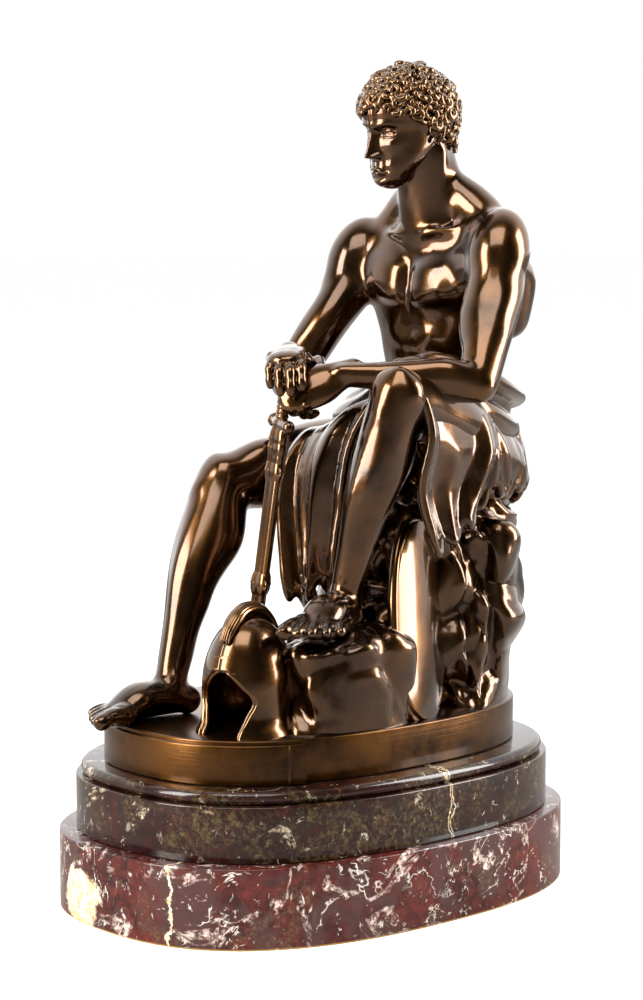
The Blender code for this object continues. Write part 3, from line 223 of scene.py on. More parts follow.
def chestRelief(x, t):
    # muscles on the front of the trunk: x to the side of the middle, t heads above the crotch
    ax = np.abs(x)
    pecMiddle = 2.07 + 0.20 * (ax - 0.34)
    pec = 0.120 * np.exp(-(((ax - 0.38) / 0.40) ** 4) - (((t - pecMiddle) / 0.315) ** 4))
    lowEdge = 1.770 - 0.26 * ax + 0.75 * ax ** 2
    fold = -0.016 * np.exp(-(((t - lowEdge) / 0.040) ** 2)) * ramp(ax, 0.04, 0.12)
    fold = fold * (1 - ramp(ax, 0.50, 0.70))
    sternum = -0.026 * np.exp(-((ax / 0.070) ** 2)) * ramp(t, 1.66, 1.84) * (1 - ramp(t, 2.36, 2.50))
    column = (1 - ramp(ax, 0.20, 0.36)) * ramp(t, 0.25, 0.60) * (1 - ramp(t, 1.42, 1.74))
    belly = 0.026 * column * (0.50 + 0.50 * ramp(ax, 0.0, 0.10))
    for row in (1.10, 1.33, 1.54):
        belly = belly - 0.012 * column * np.exp(-(((t - row - 0.05 * (ax / 0.3) ** 2) / 0.045) ** 2))
    arch = 1.70 - 0.80 * ax
    ribs = 0.012 * np.exp(-(((t - arch) / 0.09) ** 2)) * ramp(ax, 0.06, 0.18) * (1 - ramp(ax, 0.42, 0.60))
    flank = hump(ax, t, 0.50, 0.84, 0.13, 0.17, 0.055)
    crest = 0.22 + 0.86 * (ax - 0.10)
    crease = -0.032 * np.exp(-(((t - crest) / 0.045) ** 2)) * (1 - ramp(ax, 0.50, 0.62))
    navel = hump(x, t, 0, 0.98, 0.028, 0.024, -0.045)
    nipple = hump(ax, t, 0.385, 1.985, 0.020, 0.020, 0.016) + hump(ax, t, 0.385, 1.985, 0.045, 0.040, 0.006)
    for row in range(4):
        flank = flank + hump(ax, t, 0.63 - 0.02 * row, 1.42 + 0.125 * row, 0.060, 0.042, 0.026)
    return pec + fold + sternum + belly + ribs + flank + crease + navel + nipple


def backRelief(x, t):
    # muscles on the back of the trunk, in the same measures
    ax = np.abs(x)
    inner = ramp(t, 0.35, 0.65) * (1 - ramp(t, 2.25, 2.55))
    groove = -0.070 * np.exp(-((ax / 0.060) ** 2)) * inner
    columns = 0.052 * np.exp(-(((ax - 0.16) / 0.10) ** 2)) * ramp(t, 0.35, 0.6) * (1 - ramp(t, 1.45, 1.9))
    blade = 0.062 * np.exp(-(((ax - 0.45) / 0.20) ** 4) - (((t - 1.98 + 0.15 * (ax - 0.45)) / 0.27) ** 4))
    inside = (-0.022 * np.exp(-(((ax - 0.235) / 0.05) ** 2)) * ramp(t, 1.70, 1.85)
              * (1 - ramp(t, 2.12, 2.30)))
    ridge = 0.028 * np.exp(-(((t - 2.10 - 0.30 * (ax - 0.2)) / 0.050) ** 2)) * ramp(ax, 0.18, 0.32)
    yoke = 0.050 * ramp(t, 1.35, 2.2) * np.exp(-((ax / (0.08 + 0.42 * ramp(t, 1.4, 2.45))) ** 2))
    broad = hump(ax, t, 0.58, 1.62, 0.15, 0.32, 0.055) + hump(ax, t, 0.64, 2.02, 0.12, 0.10, 0.040)
    edge = -0.020 * np.exp(-(((t - 1.06 - 0.9 * (ax - 0.15)) / 0.05) ** 2)) * ramp(ax, 0.14, 0.24)
    edge = edge * (1 - ramp(ax, 0.48, 0.62))
    dimple = hump(ax, t, 0.155, 0.62, 0.045, 0.045, -0.022)
    seat = hump(ax, t, 0.32, 0.20, 0.24, 0.27, 0.11)
    return groove + columns + blade + inside + ridge + yoke + broad + edge + dimple + seat


def trunk(rows=220, columns=260):
    # superellipse rings up the spine, moved out by the muscles on the front and the back
    low, high = -0.25, 2.62
    level = np.linspace(0, 1, rows)
    t = low + (high - low) * level
    spine = smoothThrough([(0.05, 1.50, 1.52), (0.05, 1.53, 1.90), (0.06, 1.53, 2.31), (0.075, 1.47, 2.72),
                           (0.095, 1.44, 3.13), (0.115, 1.43, 3.54), (0.14, 1.38, 3.93),
                           (0.165, 1.25, 4.32)], level)
    half = smoothThrough([0.55, 0.70, 0.63, 0.565, 0.61, 0.745, 0.74, 0.27], level)
    front = smoothThrough([0.30, 0.38, 0.38, 0.36, 0.41, 0.435, 0.37, 0.17], level)
    back = smoothThrough([0.35, 0.50, 0.41, 0.34, 0.39, 0.46, 0.45, 0.25], level)
    heading = unit(np.gradient(spine, axis=0))
    side = across(np.column_stack([np.ones(rows), 0.06 * level, 0.045 * level]), heading)
    facing = np.cross(side, heading)
    turn = np.linspace(0, 2 * math.pi, columns, endpoint=False)
    c, s = np.cos(turn), np.sin(turn)
    r = (np.abs(c) ** 2.3 + np.abs(s) ** 2.3) ** (-1 / 2.3)
    x = half[:, None] * (r * s)[None]
    y = np.where(c > 0, front[:, None], back[:, None]) * (r * c)[None]
    level2 = np.broadcast_to(t[:, None], x.shape)
    y = y + chestRelief(x, level2) * ramp(c, -0.05, 0.55)[None]
    y = y - backRelief(x, level2) * ramp(-c, -0.05, 0.55)[None]
    points = spine[:, None] + x[..., None] * side[:, None] + y[..., None] * facing[:, None]
    return points.reshape(-1, 3), [face[::-1] for face in loftFaces(rows, columns)]


def elbowOf(shoulder, wrist, pole):
    # the corner of a triangle whose sides are the two bones, turned towards the pole
    line = wrist - shoulder
    reach = np.linalg.norm(line)
    back = (pose["upperArm"] ** 2 - pose["forearm"] ** 2 + reach ** 2) / (2 * reach)
    lift = math.sqrt(max(pose["upperArm"] ** 2 - back ** 2, 0.0))
    return shoulder + unit(line) * back + across(pole, line) * lift


elbowR = elbowOf(pose["shoulderR"], pose["wristR"], (-0.62, 0, -0.78))
elbowL = elbowOf(pose["shoulderL"], pose["wristL"], (0.75, 0.1, -0.66))


arms = ((-1, pose["shoulderR"], elbowR), (1, pose["shoulderL"], elbowL))
neckMiddle = 0.165


def shoulders():
    # muscles that bridge from the trunk and the neck to the arms, and the collar bones
    shapes = []
    for side, shoulder, elbow in arms:
        armWay = unit(elbow - shoulder)

        def at(out, back, rise):
            return shoulder + (out * side, back, rise)

        neck = np.array((neckMiddle + 0.13 * side, 1.24, 4.58))
        shapes.append(limb([neck, (neck + shoulder) / 2 + (0, 0.09, 0.0), at(-0.05, 0.06, 0.12)],
                           [0.15, 0.20, 0.20, 0.15], ahead))
        pit = at(-0.24, -0.13, -0.16)
        shapes.append(limb([pit + (-0.22 * side, 0.06, -0.08), pit,
                            shoulder + armWay * 0.42 + (0, -0.02, 0)],
                           [0.13, 0.165, 0.155, 0.10], ahead, flat=0.9))
        shapes.append(ball(at(-0.215, -0.165, -0.30), (0.125, 0.095, 0.17)))
        shapes.append(limb([at(-0.22, 0.30, -0.62), at(-0.08, 0.24, -0.24),
                            shoulder + armWay * 0.28 + (0, 0.07, 0)], [0.22, 0.22, 0.18, 0.13], ahead))
        notch = np.array((0.175 + 0.080 * side, 0.985, 4.10))
        tip = at(-0.10, -0.01, 0.215)
        shapes.append(limb([notch + (0.04 * side, 0.12, -0.10), (notch + tip) / 2 + (0, 0.08, -0.10),
                            tip + (0, 0.05, -0.12)], [0.10, 0.125, 0.13], ahead))
        shapes.append(limb([notch + (0.09 * side, 0.16, -0.04), (notch + tip) / 2 + (0, 0.15, -0.03),
                            tip + (-0.03 * side, 0.10, -0.09)], [0.085, 0.115, 0.11], ahead))
        shapes.append(ball(at(-0.165, -0.10, 0.07), (0.13, 0.115, 0.16)))
        shapes.append(limb([neck * 0.35 + shoulder * 0.65 + (0, 0.0, 0.03), at(-0.12, -0.02, 0.12),
                            shoulder + armWay * 0.22 + (0, -0.04, 0.06)], [0.11, 0.135, 0.13], ahead))
        inner = (notch * 2 + tip) / 3 + (0, -0.05, 0.0)
        outer = (notch + tip * 2) / 3 + (0, -0.03, 0.0)
        shapes.append(strand([notch, inner, outer, tip], [0.050, 0.040, 0.038, 0.044], 40, 14))
    return shapes


def bodySpots():
    # places, and radii about them, where the fused skin is smoothed so that the muscles run into each other
    spots = [((neckMiddle, 1.50, 4.34), 0.36), ((0.17, 0.97, 3.98), 0.13)]
    for side, shoulder, elbow in arms:
        armWay = unit(elbow - shoulder)
        spots += [(shoulder + armWay * 0.52, 0.34), ((neckMiddle + 0.24 * side, 1.24, 4.40), 0.24),
                  (elbow, 0.17),
                  (shoulder + armWay * 0.30 + (-0.22 * side, -0.06, 0), 0.20),
                  (pose["skull"] + (0.22 * side, 0.10, -0.42), 0.24)]
        spots += [(shoulder + (out * side, back, rise), radius) for out, back, rise, radius in (
            (-0.22, -0.16, -0.12, 0.24), (-0.10, 0.22, 0.10, 0.40), (-0.34, 0.20, -0.50, 0.36),
            (-0.16, -0.12, 0.12, 0.20), (-0.42, -0.16, 0.16, 0.19), (-0.22, -0.28, -0.34, 0.17),
            (-0.20, -0.02, 0.16, 0.20), (-0.26, -0.10, 0.17, 0.18))]
    return spots


def arm(shoulder, elbow, wrist, side):
    # arm to the wrist: deltoid, biceps, triceps and the two sides of the forearm
    upper = elbow - shoulder
    fore = wrist - elbow
    inside = across(fore, upper)
    outward = np.cross(unit(upper), inside)
    outward = outward if np.dot(outward, leftward * side) > 0 else -outward
    upperBumps = [(0.55, 0, 0.24, 0.19, 46), (0.40, 165, 0.22, 0.22, 50), (0.66, 140, 0.10, 0.13, 34),
                  (0.46, 88, -0.10, 0.10, 20), (0.55, -88, -0.08, 0.16, 20), (0.78, 0, -0.06, 0.06, 30)]
    shapes = [limb([shoulder, (shoulder + elbow) / 2, elbow], [0.235, 0.235, 0.215, 0.195, 0.165], inside,
                   outward, upperBumps, rings=60, sides=60)]
    shapes.append(ball(shoulder + outward * 0.085 + unit(upper) * 0.12, (0.265, 0.275, 0.42), inside,
                       -upper + outward * 0.22, 30, 48))
    shapes.append(ball(shoulder + outward * 0.10 + unit(upper) * 0.36, (0.17, 0.20, 0.30), inside,
                       -upper + outward * 0.1, 24, 36))
    bend = across(-upper, fore)
    foreBumps = [(0.24, 70, 0.22, 0.20, 46), (0.30, -80, 0.20, 0.22, 46), (0.06, 180, 0.10, 0.08, 30),
                 (0.60, 150, -0.05, 0.2, 16), (0.45, 10, -0.05, 0.25, 20), (0.40, 128, 0.06, 0.22, 16)]
    shapes.append(limb([elbow, (elbow + wrist) / 2 + bend * 0.02, wrist - unit(fore) * 0.05],
                       [0.165, 0.190, 0.170, 0.133, 0.082], bend, outward, foreBumps, flat=0.88,
                       rings=60, sides=56))
    shapes.append(ball(elbow - bend * 0.085, (0.085, 0.09, 0.11), bend, fore))
    return shapes


def finger(knuckle, heading, palm, lengths, bends, radius):
    # one rod that turns towards the palm by each bend in degrees, with knots at joints and mid bones
    heading = unit(heading)
    curlWay = across(palm, heading)
    place = np.array(knuckle, float)
    points = [place.copy()]
    turn = 0.0
    for length, bend in zip(lengths, bends):
        turn += math.radians(bend)
        step = heading * math.cos(turn) + curlWay * math.sin(turn)
        points.append(place + step * length * 0.5)
        place = place + step * length
        points.append(place.copy())
    return strand(points, np.array((1, 0.94, 1.04, 0.91, 0.96, 0.88, 0.70)) * radius, 40, 16)


# bones of each finger from the first, and of the thumb; step: from one knuckle to the next
handSize = {"fingers": ((0.190, 0.118, 0.090), (0.208, 0.132, 0.095), (0.195, 0.124, 0.094),
                        (0.152, 0.095, 0.082)),
            "radius": 0.0455, "littleLess": 0.004, "step": 0.086, "fan": 0.05, "thumb": (0.16, 0.15, 0.12),
            "thumbBends": (5, 18, 22), "thumbRadius": 0.054}


def hand(shoulder, elbow, wrist, heading, palm, thumbSide, bends, thumbHeading):
    # palm, four fingers and thumb; the palm is a flat round-ended loft. The end of the forearm belongs to
    # the hand: it comes out of the arm's surface at a shallow angle
    heading = unit(heading)
    palm = across(palm, heading)
    span = np.cross(heading, palm)
    span = span if np.dot(span, thumbSide) > 0 else -span
    tendons = [(0.75, 180 + aim, 0.07, 0.30, 9) for aim in (-48, -16, 14, 44)]
    shapes = [limb([wrist - heading * 0.10, wrist + heading * 0.18, wrist + heading * 0.41],
                   [0.116, 0.150, 0.182, 0.186, 0.168], palm, span, tendons, flat=0.45, rings=30, sides=60)]
    bend = across(shoulder - elbow, wrist - elbow)
    wristBones = [(0.95, 90, 0.08, 0.1, 34), (0.95, -90, 0.10, 0.1, 34)]
    shapes.append(limb([elbow * 0.4 + wrist * 0.6 + bend * 0.019, elbow * 0.2 + wrist * 0.8 + bend * 0.012,
                        wrist], [0.122, 0.131, 0.1245, 0.116, 0.106], bend, span, wristBones, flat=0.88,
                       rings=40, sides=56))
    shapes.append(ball(wrist + heading * 0.08, (0.118, 0.080, 0.24), palm, heading, 24, 36))
    shapes.append(ball(wrist + heading * 0.20 + span * 0.12 + palm * 0.035, (0.075, 0.062, 0.16), palm,
                       heading + span * 0.45))
    shapes.append(ball(wrist + heading * 0.22 - span * 0.11 + palm * 0.03, (0.065, 0.055, 0.17), palm,
                       heading))
    for number, (sizes, bend) in enumerate(zip(handSize["fingers"], bends)):
        offset = 0.128 - handSize["step"] * number
        arch = 0.428 - 0.018 * (number - 1.2) ** 2
        knuckle = wrist + heading * arch + span * offset - palm * 0.016
        aim = heading + span * handSize["fan"] * (1.5 - number) * 0.6
        radius = handSize["radius"] - handSize["littleLess"] * (number == 3)
        shapes.append(finger(knuckle, aim, palm, sizes, bend, radius))
        shapes.append(ball(knuckle - palm * 0.012, (0.040, 0.040, 0.050), palm, heading))
    root = wrist + heading * 0.13 + span * 0.15 + palm * 0.02
    shapes.append(finger(root, thumbHeading, palm, handSize["thumb"], handSize["thumbBends"],
                         handSize["thumbRadius"]))
    return shapes


def leg(hip, knee, ankle, side):
    # leg to the ankle, with the long muscles of the thigh, the knee cap and the calf
    thigh = knee - hip
    shin = ankle - knee
    front = across(-shin, thigh)
    shinFront = across(thigh, shin)
    lateral = np.cross(unit(thigh), front)
    lateral = lateral if np.dot(lateral, leftward * side) > 0 else -lateral
    thighBumps = [(0.50, 8, 0.10, 0.28, 40), (0.60, 66, 0.13, 0.22, 36), (0.83, -52, 0.22, 0.09, 32),
                  (0.45, 170, 0.12, 0.26, 50), (0.18, -70, 0.12, 0.18, 46), (0.88, 46, 0.10, 0.07, 24),
                  (0.72, 108, -0.08, 0.18, 16), (0.74, -100, -0.06, 0.16, 18), (0.93, 0, -0.05, 0.05, 30)]
    shapes = [limb([hip, (hip + knee) / 2 + front * 0.05, knee], [0.42, 0.41, 0.375, 0.315, 0.255],
                   front, lateral, thighBumps, rings=80, sides=80)]
    shinBumps = [(0.31, 148, 0.36, 0.16, 40), (0.27, -150, 0.42, 0.17, 40), (0.30, 42, 0.14, 0.20, 28),
                 (0.09, 0, 0.12, 0.045, 24), (0.45, -14, 0.06, 0.30, 12), (0.62, 180, 0.12, 0.12, 40),
                 (0.90, 180, 0.14, 0.12, 20), (0.42, 92, 0.10, 0.18, 26), (0.55, 180, -0.04, 0.06, 30)]
    shapes.append(limb([knee, (knee + ankle) / 2 + shinFront * 0.05, ankle],
                       [0.245, 0.225, 0.205, 0.155, 0.138], shinFront, lateral, shinBumps, flat=1.02,
                       rings=80, sides=72))
    cap = unit(front + shinFront)
    shapes.append(ball(knee + cap * 0.150, (0.150, 0.105, 0.165), cap, -shin, 20, 30))
    shapes.append(ball(knee + unit(shin) * 0.24 + shinFront * 0.165, (0.07, 0.06, 0.10), shinFront, -shin))
    for way in (-1, 1):
        shapes.append(ball(knee + lateral * 0.125 * way + cap * 0.055, (0.125, 0.165, 0.18), cap, -shin))
        bone = ankle + lateral * 0.118 * way + unit(shin) * (0.02 if way < 0 else 0.05)
        shapes.append(ball(bone, (0.050, 0.07, 0.08), shinFront, -shin))
    return shapes


# the toes from the big one; step: from one toe to the next
footSize = {"toeLengths": (0.27, 0.25, 0.22, 0.185, 0.15), "toeRadii": (0.070, 0.046, 0.043, 0.041, 0.040),
            "step": 0.079}


def foot(ankle, heading, side, sole):
    # bare foot on a sole at the height given: heel, arched instep, ball, five toes and their nails
    heading = across(heading, up)
    outer = np.cross(heading, up)
    outer = outer if np.dot(outer, leftward * side) > 0 else -outer

    def at(forward, out, height):
        place = ankle + heading * forward + outer * out
        place[2] = sole + height
        return place

    top = ankle[2] - sole
    rises = [(0.45, 0, 0.07, 0.2, 40)] + [(0.62, aim, 0.045, 0.25, 9) for aim in (-34, -12, 10, 32)]
    shapes = [limb([at(-0.14, 0, 0.13), at(0.06, 0, top * 0.62), at(0.34, 0.0, 0.21),
                    at(0.56, 0.02, 0.105)],
                   [0.14, 0.170, 0.175, 0.185, 0.160], up, outer, rises, flat=0.64, rings=50, sides=64)]
    shapes.append(ball(at(-0.18, 0, 0.13), (0.13, 0.13, 0.135), heading))
    shapes.append(strand([at(-0.19, 0, 0.16), at(-0.12, 0, top * 0.9), ankle - heading * 0.10 + up * 0.22],
                         [0.075, 0.055, 0.070]))
    shapes.append(limb([at(-0.10, 0.06, 0.075), at(0.25, 0.10, 0.07), at(0.60, 0.12, 0.07)],
                       [0.095, 0.095, 0.09], up, outer, flat=0.75))
    shapes.append(ball(at(0.60, -0.10, 0.105), (0.11, 0.135, 0.10), heading))
    shapes.append(ball(at(0.56, 0.10, 0.09), (0.115, 0.135, 0.085), heading))
    for number, (length, size) in enumerate(zip(footSize["toeLengths"], footSize["toeRadii"])):
        out = -0.118 + footSize["step"] * number - (0.012 if number == 0 else 0)
        start = 0.66 - 0.028 * number - 0.012 * max(number - 2, 0)
        spread = 0.02 * (number - 1)
        path = [at(start - 0.06, out, 0.105), at(start + length * 0.30, out + spread * 0.4, 0.118),
                at(start + length * 0.66, out + spread, 0.092), at(start + length, out + spread, 0.056)]
        shapes.append(strand(path, size * np.array((1.0, 1.0, 0.95, 1.02, 0.84)), 30, 14))
        nail = at(start + length * 0.90, out + spread, 0.056 + size * 0.86)
        shapes.append(ball(nail, (size * 0.62, size * 0.70, size * 0.22), heading + up * -0.45,
                           up + heading * 0.4))
    return shapes


# The head, in heads, about the middle of the skull

face = {"eyeOut": 0.136, "eyeHalf": 0.066, "eyeOpen": 0.027, "eyeUnder": 0.017, "mouthHalf": 0.098,
        "hairRadii": np.array((0.350, 0.456, 0.430)), "hairMiddle": np.array((0.0, 0.024, 0.085)),
        "curls": 430, "curl": 0.047}


def soft(x, wide):
    # smooth rise from 0 to 1 over about four times the width
    return 1 / (1 + np.exp(-np.clip(x / wide, -40, 40)))


def eyeRelief(ax, z):
    # the lids as a mound over the ball of the eye, the almond opening set back between their edges, a fold
    # over the upper lid and a shallow iris
    u = (ax - face["eyeOut"]) / face["eyeHalf"]
    arc = np.clip(1 - u * u, 0, 1)
    upper = face["eyeOpen"] * arc ** 0.8 * (1 - 0.12 * u) + 0.004 * u
    lower = -face["eyeUnder"] * arc * (1 + 0.15 * u) + 0.004 * u
    mound = hump(ax, z, face["eyeOut"], 0.006, 0.072, 0.042, 0.046)
    opening = -0.014 * soft(upper - z, 0.0018) * soft(z - lower, 0.0018) * ramp(arc, 0.0, 0.25)
    crease = -0.015 * np.exp(-(((z - upper - 0.021) / 0.0075) ** 2)) * ramp(arc, 0.0, 0.4)
    under = -0.005 * np.exp(-(((z - lower + 0.022) / 0.008) ** 2)) * ramp(arc, 0.0, 0.4)
    away = np.sqrt((ax - face["eyeOut"]) ** 2 + (z - 0.005) ** 2)
    iris = -0.0025 * np.exp(-(((away - 0.019) / 0.003) ** 2)) - 0.004 * np.exp(-((away / 0.007) ** 4))
    return mound + opening + crease + under + iris * soft(upper - z, 0.0018)


def faceRelief(x, z):
    # how far each feature of a calm, regular face stands out over the plane of the face
    ax = np.abs(x)
    slope = np.clip((0.090 - z) / 0.255, 0, 1)
    under = soft(z + 0.186 + 0.25 * ax, 0.0085)
    ridge = (0.014 + 0.082 * slope ** 1.1) * np.exp(-((ax / (0.026 + 0.014 * slope)) ** 2.6))
    flank = 0.034 * slope * np.exp(-((ax / (0.048 + 0.020 * slope)) ** 2))
    nose = (ridge + flank) * under + hump(x, z, 0, -0.160, 0.030, 0.028, 0.008)
    wing = hump(ax, z, 0.050, -0.168, 0.021, 0.022, 0.040) - hump(ax, z, 0.024, -0.196, 0.012, 0.008, 0.012)
    browLine = 0.084 + 0.015 * np.sin(ax * 9) - 0.9 * np.clip(ax - 0.17, 0, 1) ** 1.5
    brow = 0.022 * np.exp(-(((z - browLine) / 0.034) ** 2)) * np.exp(-((ax / 0.25) ** 4))
    brow = brow * ramp(ax, -0.03, 0.06)
    socket = (hump(ax, z, 0.128, 0.012, 0.082, 0.050, -0.066)
              + hump(ax, z, 0.058, 0.012, 0.026, 0.036, -0.022))
    half = face["mouthHalf"]
    side = np.clip(ax / half, 0, 1)
    fade = (1 - side ** 3) * ramp(half - ax, -0.004, 0.02)
    line = -0.300 + 0.004 * np.cos(ax * 36) - 0.004 * side
    bow = -0.276 - 0.006 * np.exp(-((ax / 0.012) ** 2)) - 0.010 * side ** 2
    upperLip = 0.022 * soft(bow - z, 0.0030) * soft(z - line, 0.0035) * fade
    lowerLip = 0.030 * np.exp(-(((z - line + 0.021) / 0.019) ** 2)) * (1 - side ** 2.4)
    parting = -0.020 * np.exp(-(((z - line) / 0.0062) ** 2)) * ramp(half + 0.012 - ax, 0.0, 0.03)
    muzzle = hump(x, z, 0, -0.290, 0.125, 0.085, 0.030) + hump(ax, z, 0.112, -0.302, 0.020, 0.024, -0.012)
    philtrum = hump(x, z, 0, -0.243, 0.011, 0.024, -0.008)
    chin = hump(x, z, 0, -0.428, 0.085, 0.052, 0.034) + hump(x, z, 0, -0.366, 0.075, 0.022, -0.018)
    cheek = (hump(ax, z, 0.200, -0.085, 0.078, 0.062, 0.022)
             + hump(ax, z, 0.105, -0.215, 0.030, 0.060, -0.010))
    temple = hump(ax, z, 0.27, 0.10, 0.05, 0.08, -0.010)
    return (nose + wing + brow + socket + eyeRelief(ax, z) + upperLip + lowerLip + parting + muzzle
            + philtrum + chin + cheek + temple)


def skull(rows=240, columns=280):
    # superellipse rings up the height, their points closer together in front, with the face raised on them;
    # towards the chin they close as a quarter ellipse
    level = np.linspace(0, 1, rows)
    z = np.linspace(-0.499, 0.498, rows)
    half = smoothThrough([0.150, 0.185, 0.242, 0.274, 0.288, 0.300, 0.315, 0.325, 0.315, 0.245, 0.02],
                         level)
    depth = smoothThrough([0.360, 0.392, 0.392, 0.388, 0.385, 0.385, 0.400, 0.405, 0.375, 0.27, 0.04],
                          level)
    nape = smoothThrough([-0.14, -0.09, 0.03, 0.20, 0.35, 0.425, 0.455, 0.455, 0.41, 0.29, 0.05], level)
    close = np.sqrt(np.clip(1 - (np.clip(-0.385 - z, 0, 1) / 0.1142) ** 2, 0, 1))
    turn = np.linspace(-math.pi, math.pi, columns, endpoint=False)
    turn = turn - 0.55 * np.sin(turn)
    c, s = np.cos(turn), np.sin(turn)
    r = (np.abs(c) ** 2.25 + np.abs(s) ** 2.25) ** (-1 / 2.25)
    x = (half * close)[:, None] * (r * s)[None]
    y = ((nape - depth) / 2)[:, None] - ((nape + depth) / 2 * close)[:, None] * (r * c)[None]
    zz = np.broadcast_to(z[:, None], x.shape)
    y = y - faceRelief(x, zz) * np.clip(c, 0, 1)[None] ** 0.5 * ramp(close, 0.0, 0.6)[:, None]
    return np.stack([x, y, zz], -1).reshape(-1, 3), [f[::-1] for f in loftFaces(rows, columns)]


def ear(side):
    # a curled rim round a shallow bowl, with an inner fold and a lobe
    turn = np.linspace(-0.46, 1.16, 9) * math.pi
    c, s = np.cos(turn), np.sin(turn)
    rim = np.column_stack([(0.338 + 0.022 * c) * side, 0.050 + 0.054 * c + 0.020 * s, -0.035 + 0.104 * s])
    inner = np.column_stack([np.full(9, 0.336) * side, 0.054 + 0.026 * c, -0.020 + 0.058 * s])
    return [strand(rim, [0.022, 0.019, 0.018, 0.018, 0.022], 34, 12),
            strand(inner, [0.012, 0.014, 0.013, 0.010], 30, 10),
            ball((0.318 * side, 0.055, -0.030), (0.026, 0.052, 0.095)),
            ball((0.328 * side, 0.008, -0.035), (0.016, 0.016, 0.024)),
            ball((0.328 * side, 0.034, -0.130), (0.022, 0.028, 0.034))]


def curl(centre, normal, size, way, start, turns):
    # a spiral: its radius shrinks and its height grows evenly along it
    normal = unit(normal)
    a = across((0.31, 0.17, 0.93), normal)
    b = np.cross(normal, a)
    t = np.linspace(0, 1, 14)
    turn = start + way * t * turns * math.pi
    reach = size * (1 - 0.72 * t)
    path = (centre + reach[:, None] * (np.cos(turn)[:, None] * a + np.sin(turn)[:, None] * b)
            + normal * (size * (0.62 * t - 0.10))[:, None])
    return strand(path, np.array((0.30, 0.54, 0.60, 0.55, 0.40)) * size, 22, 7)


def chance(number):
    # repeatable scatter from 0 to 1
    return (math.sin(number * 12.9898) * 43758.5453) % 1.0


def hair():
    # curls at places by the golden angle over the scalp, down to the forehead and the nape, each pushed,
    # leant and sized a little by chance; the ellipsoid they stand on bulges to a superellipse as the skull
    # does, and doesn't narrow towards the nape
    shapes = [ball(face["hairMiddle"] + (0, 0.03, 0.03), (0.333, 0.424, 0.398), rings=30, sides=48)]
    count = face["curls"]
    for number in range(count):
        pushes = np.array([chance(number + part) - 0.5 for part in (0.17, 0.39, 0.71)])
        rise = 1 - 2 * (number + 0.5) / count
        turn = number * math.pi * (3 - math.sqrt(5))
        flat = math.sqrt(1 - rise * rise)
        wayOut = unit(np.array((flat * math.sin(turn), -flat * math.cos(turn), rise)) + pushes * 0.05)
        front = -wayOut[1]
        edge = 0.50 * front ** 0.9 - 0.15 if front > 0 else -0.15 - 0.71 * min(-front * 1.9, 1)
        if wayOut[2] > edge:
            size = face["curl"] * (1.05 + 0.6 * pushes[0])
            flatNow = np.linalg.norm(wayOut[:2])
            bulge = np.sum(np.abs(wayOut[:2] / flatNow) ** 2.25) ** (-1 / 2.25)
            if rise < 0:
                bulge = bulge * max(flatNow, 0.82) / flatNow
            else:
                bulge = 1 + (bulge - 1) * ramp(0.9 - rise, 0, 0.4)
            spread = face["hairRadii"] * np.array((bulge, bulge, 1.0)) * (1 + 0.02 * pushes[1])
            shapes.append(curl(face["hairMiddle"] + wayOut * spread,
                               unit(wayOut / face["hairRadii"]) + pushes[::-1] * 0.9, size,
                               1 if number % 2 else -1, number * 1.7, 2.1 + 1.1 * pushes[2]))
    return shapes


headTurn = np.array(Matrix.Rotation(math.radians(pose["headTurn"]), 3, "Z")
                    @ Matrix.Rotation(math.radians(pose["headTilt"]), 3, "Y")
                    @ Matrix.Rotation(math.radians(pose["headNod"]), 3, "X"))


def onHead(shapes):
    return [(points @ headTurn.T + pose["skull"], faces) for points, faces in shapes]


def neck():
    # throat and nape as one loft, and the two muscles from behind the ears to the pit of the neck
    base = np.array((0.165, 1.31, 4.06))
    top = pose["skull"] + headTurn @ np.array((0, 0.11, -0.16))
    shapes = [limb([base, (base + top) / 2 + (0, 0.03, 0), top], [0.34, 0.315, 0.288, 0.275], ahead,
                   leftward,
                   [(0.55, 0, 0.05, 0.1, 16)], rings=40, sides=60)]
    notch = np.array((0.18, 1.03, 4.13))
    for side in (-1, 1):
        behindEar = pose["skull"] + headTurn @ np.array((0.245 * side, 0.13, -0.16))
        shapes.append(strand([behindEar, (behindEar + notch) / 2 + (0.075 * side, 0.02, 0),
                              notch + (0.06 * side, 0, 0)], [0.095, 0.088, 0.070, 0.045], 40, 16))
    return shapes


# Arms of a soldier

# places down the sword are from the pommel's middle
swordSize = {"pommel": 0.095, "guard": 0.45, "guardHalf": 0.25, "ribs": 8, "ribStep": 0.115, "sheath": 0.50,
             "band": 0.022, "ring": 0.034}


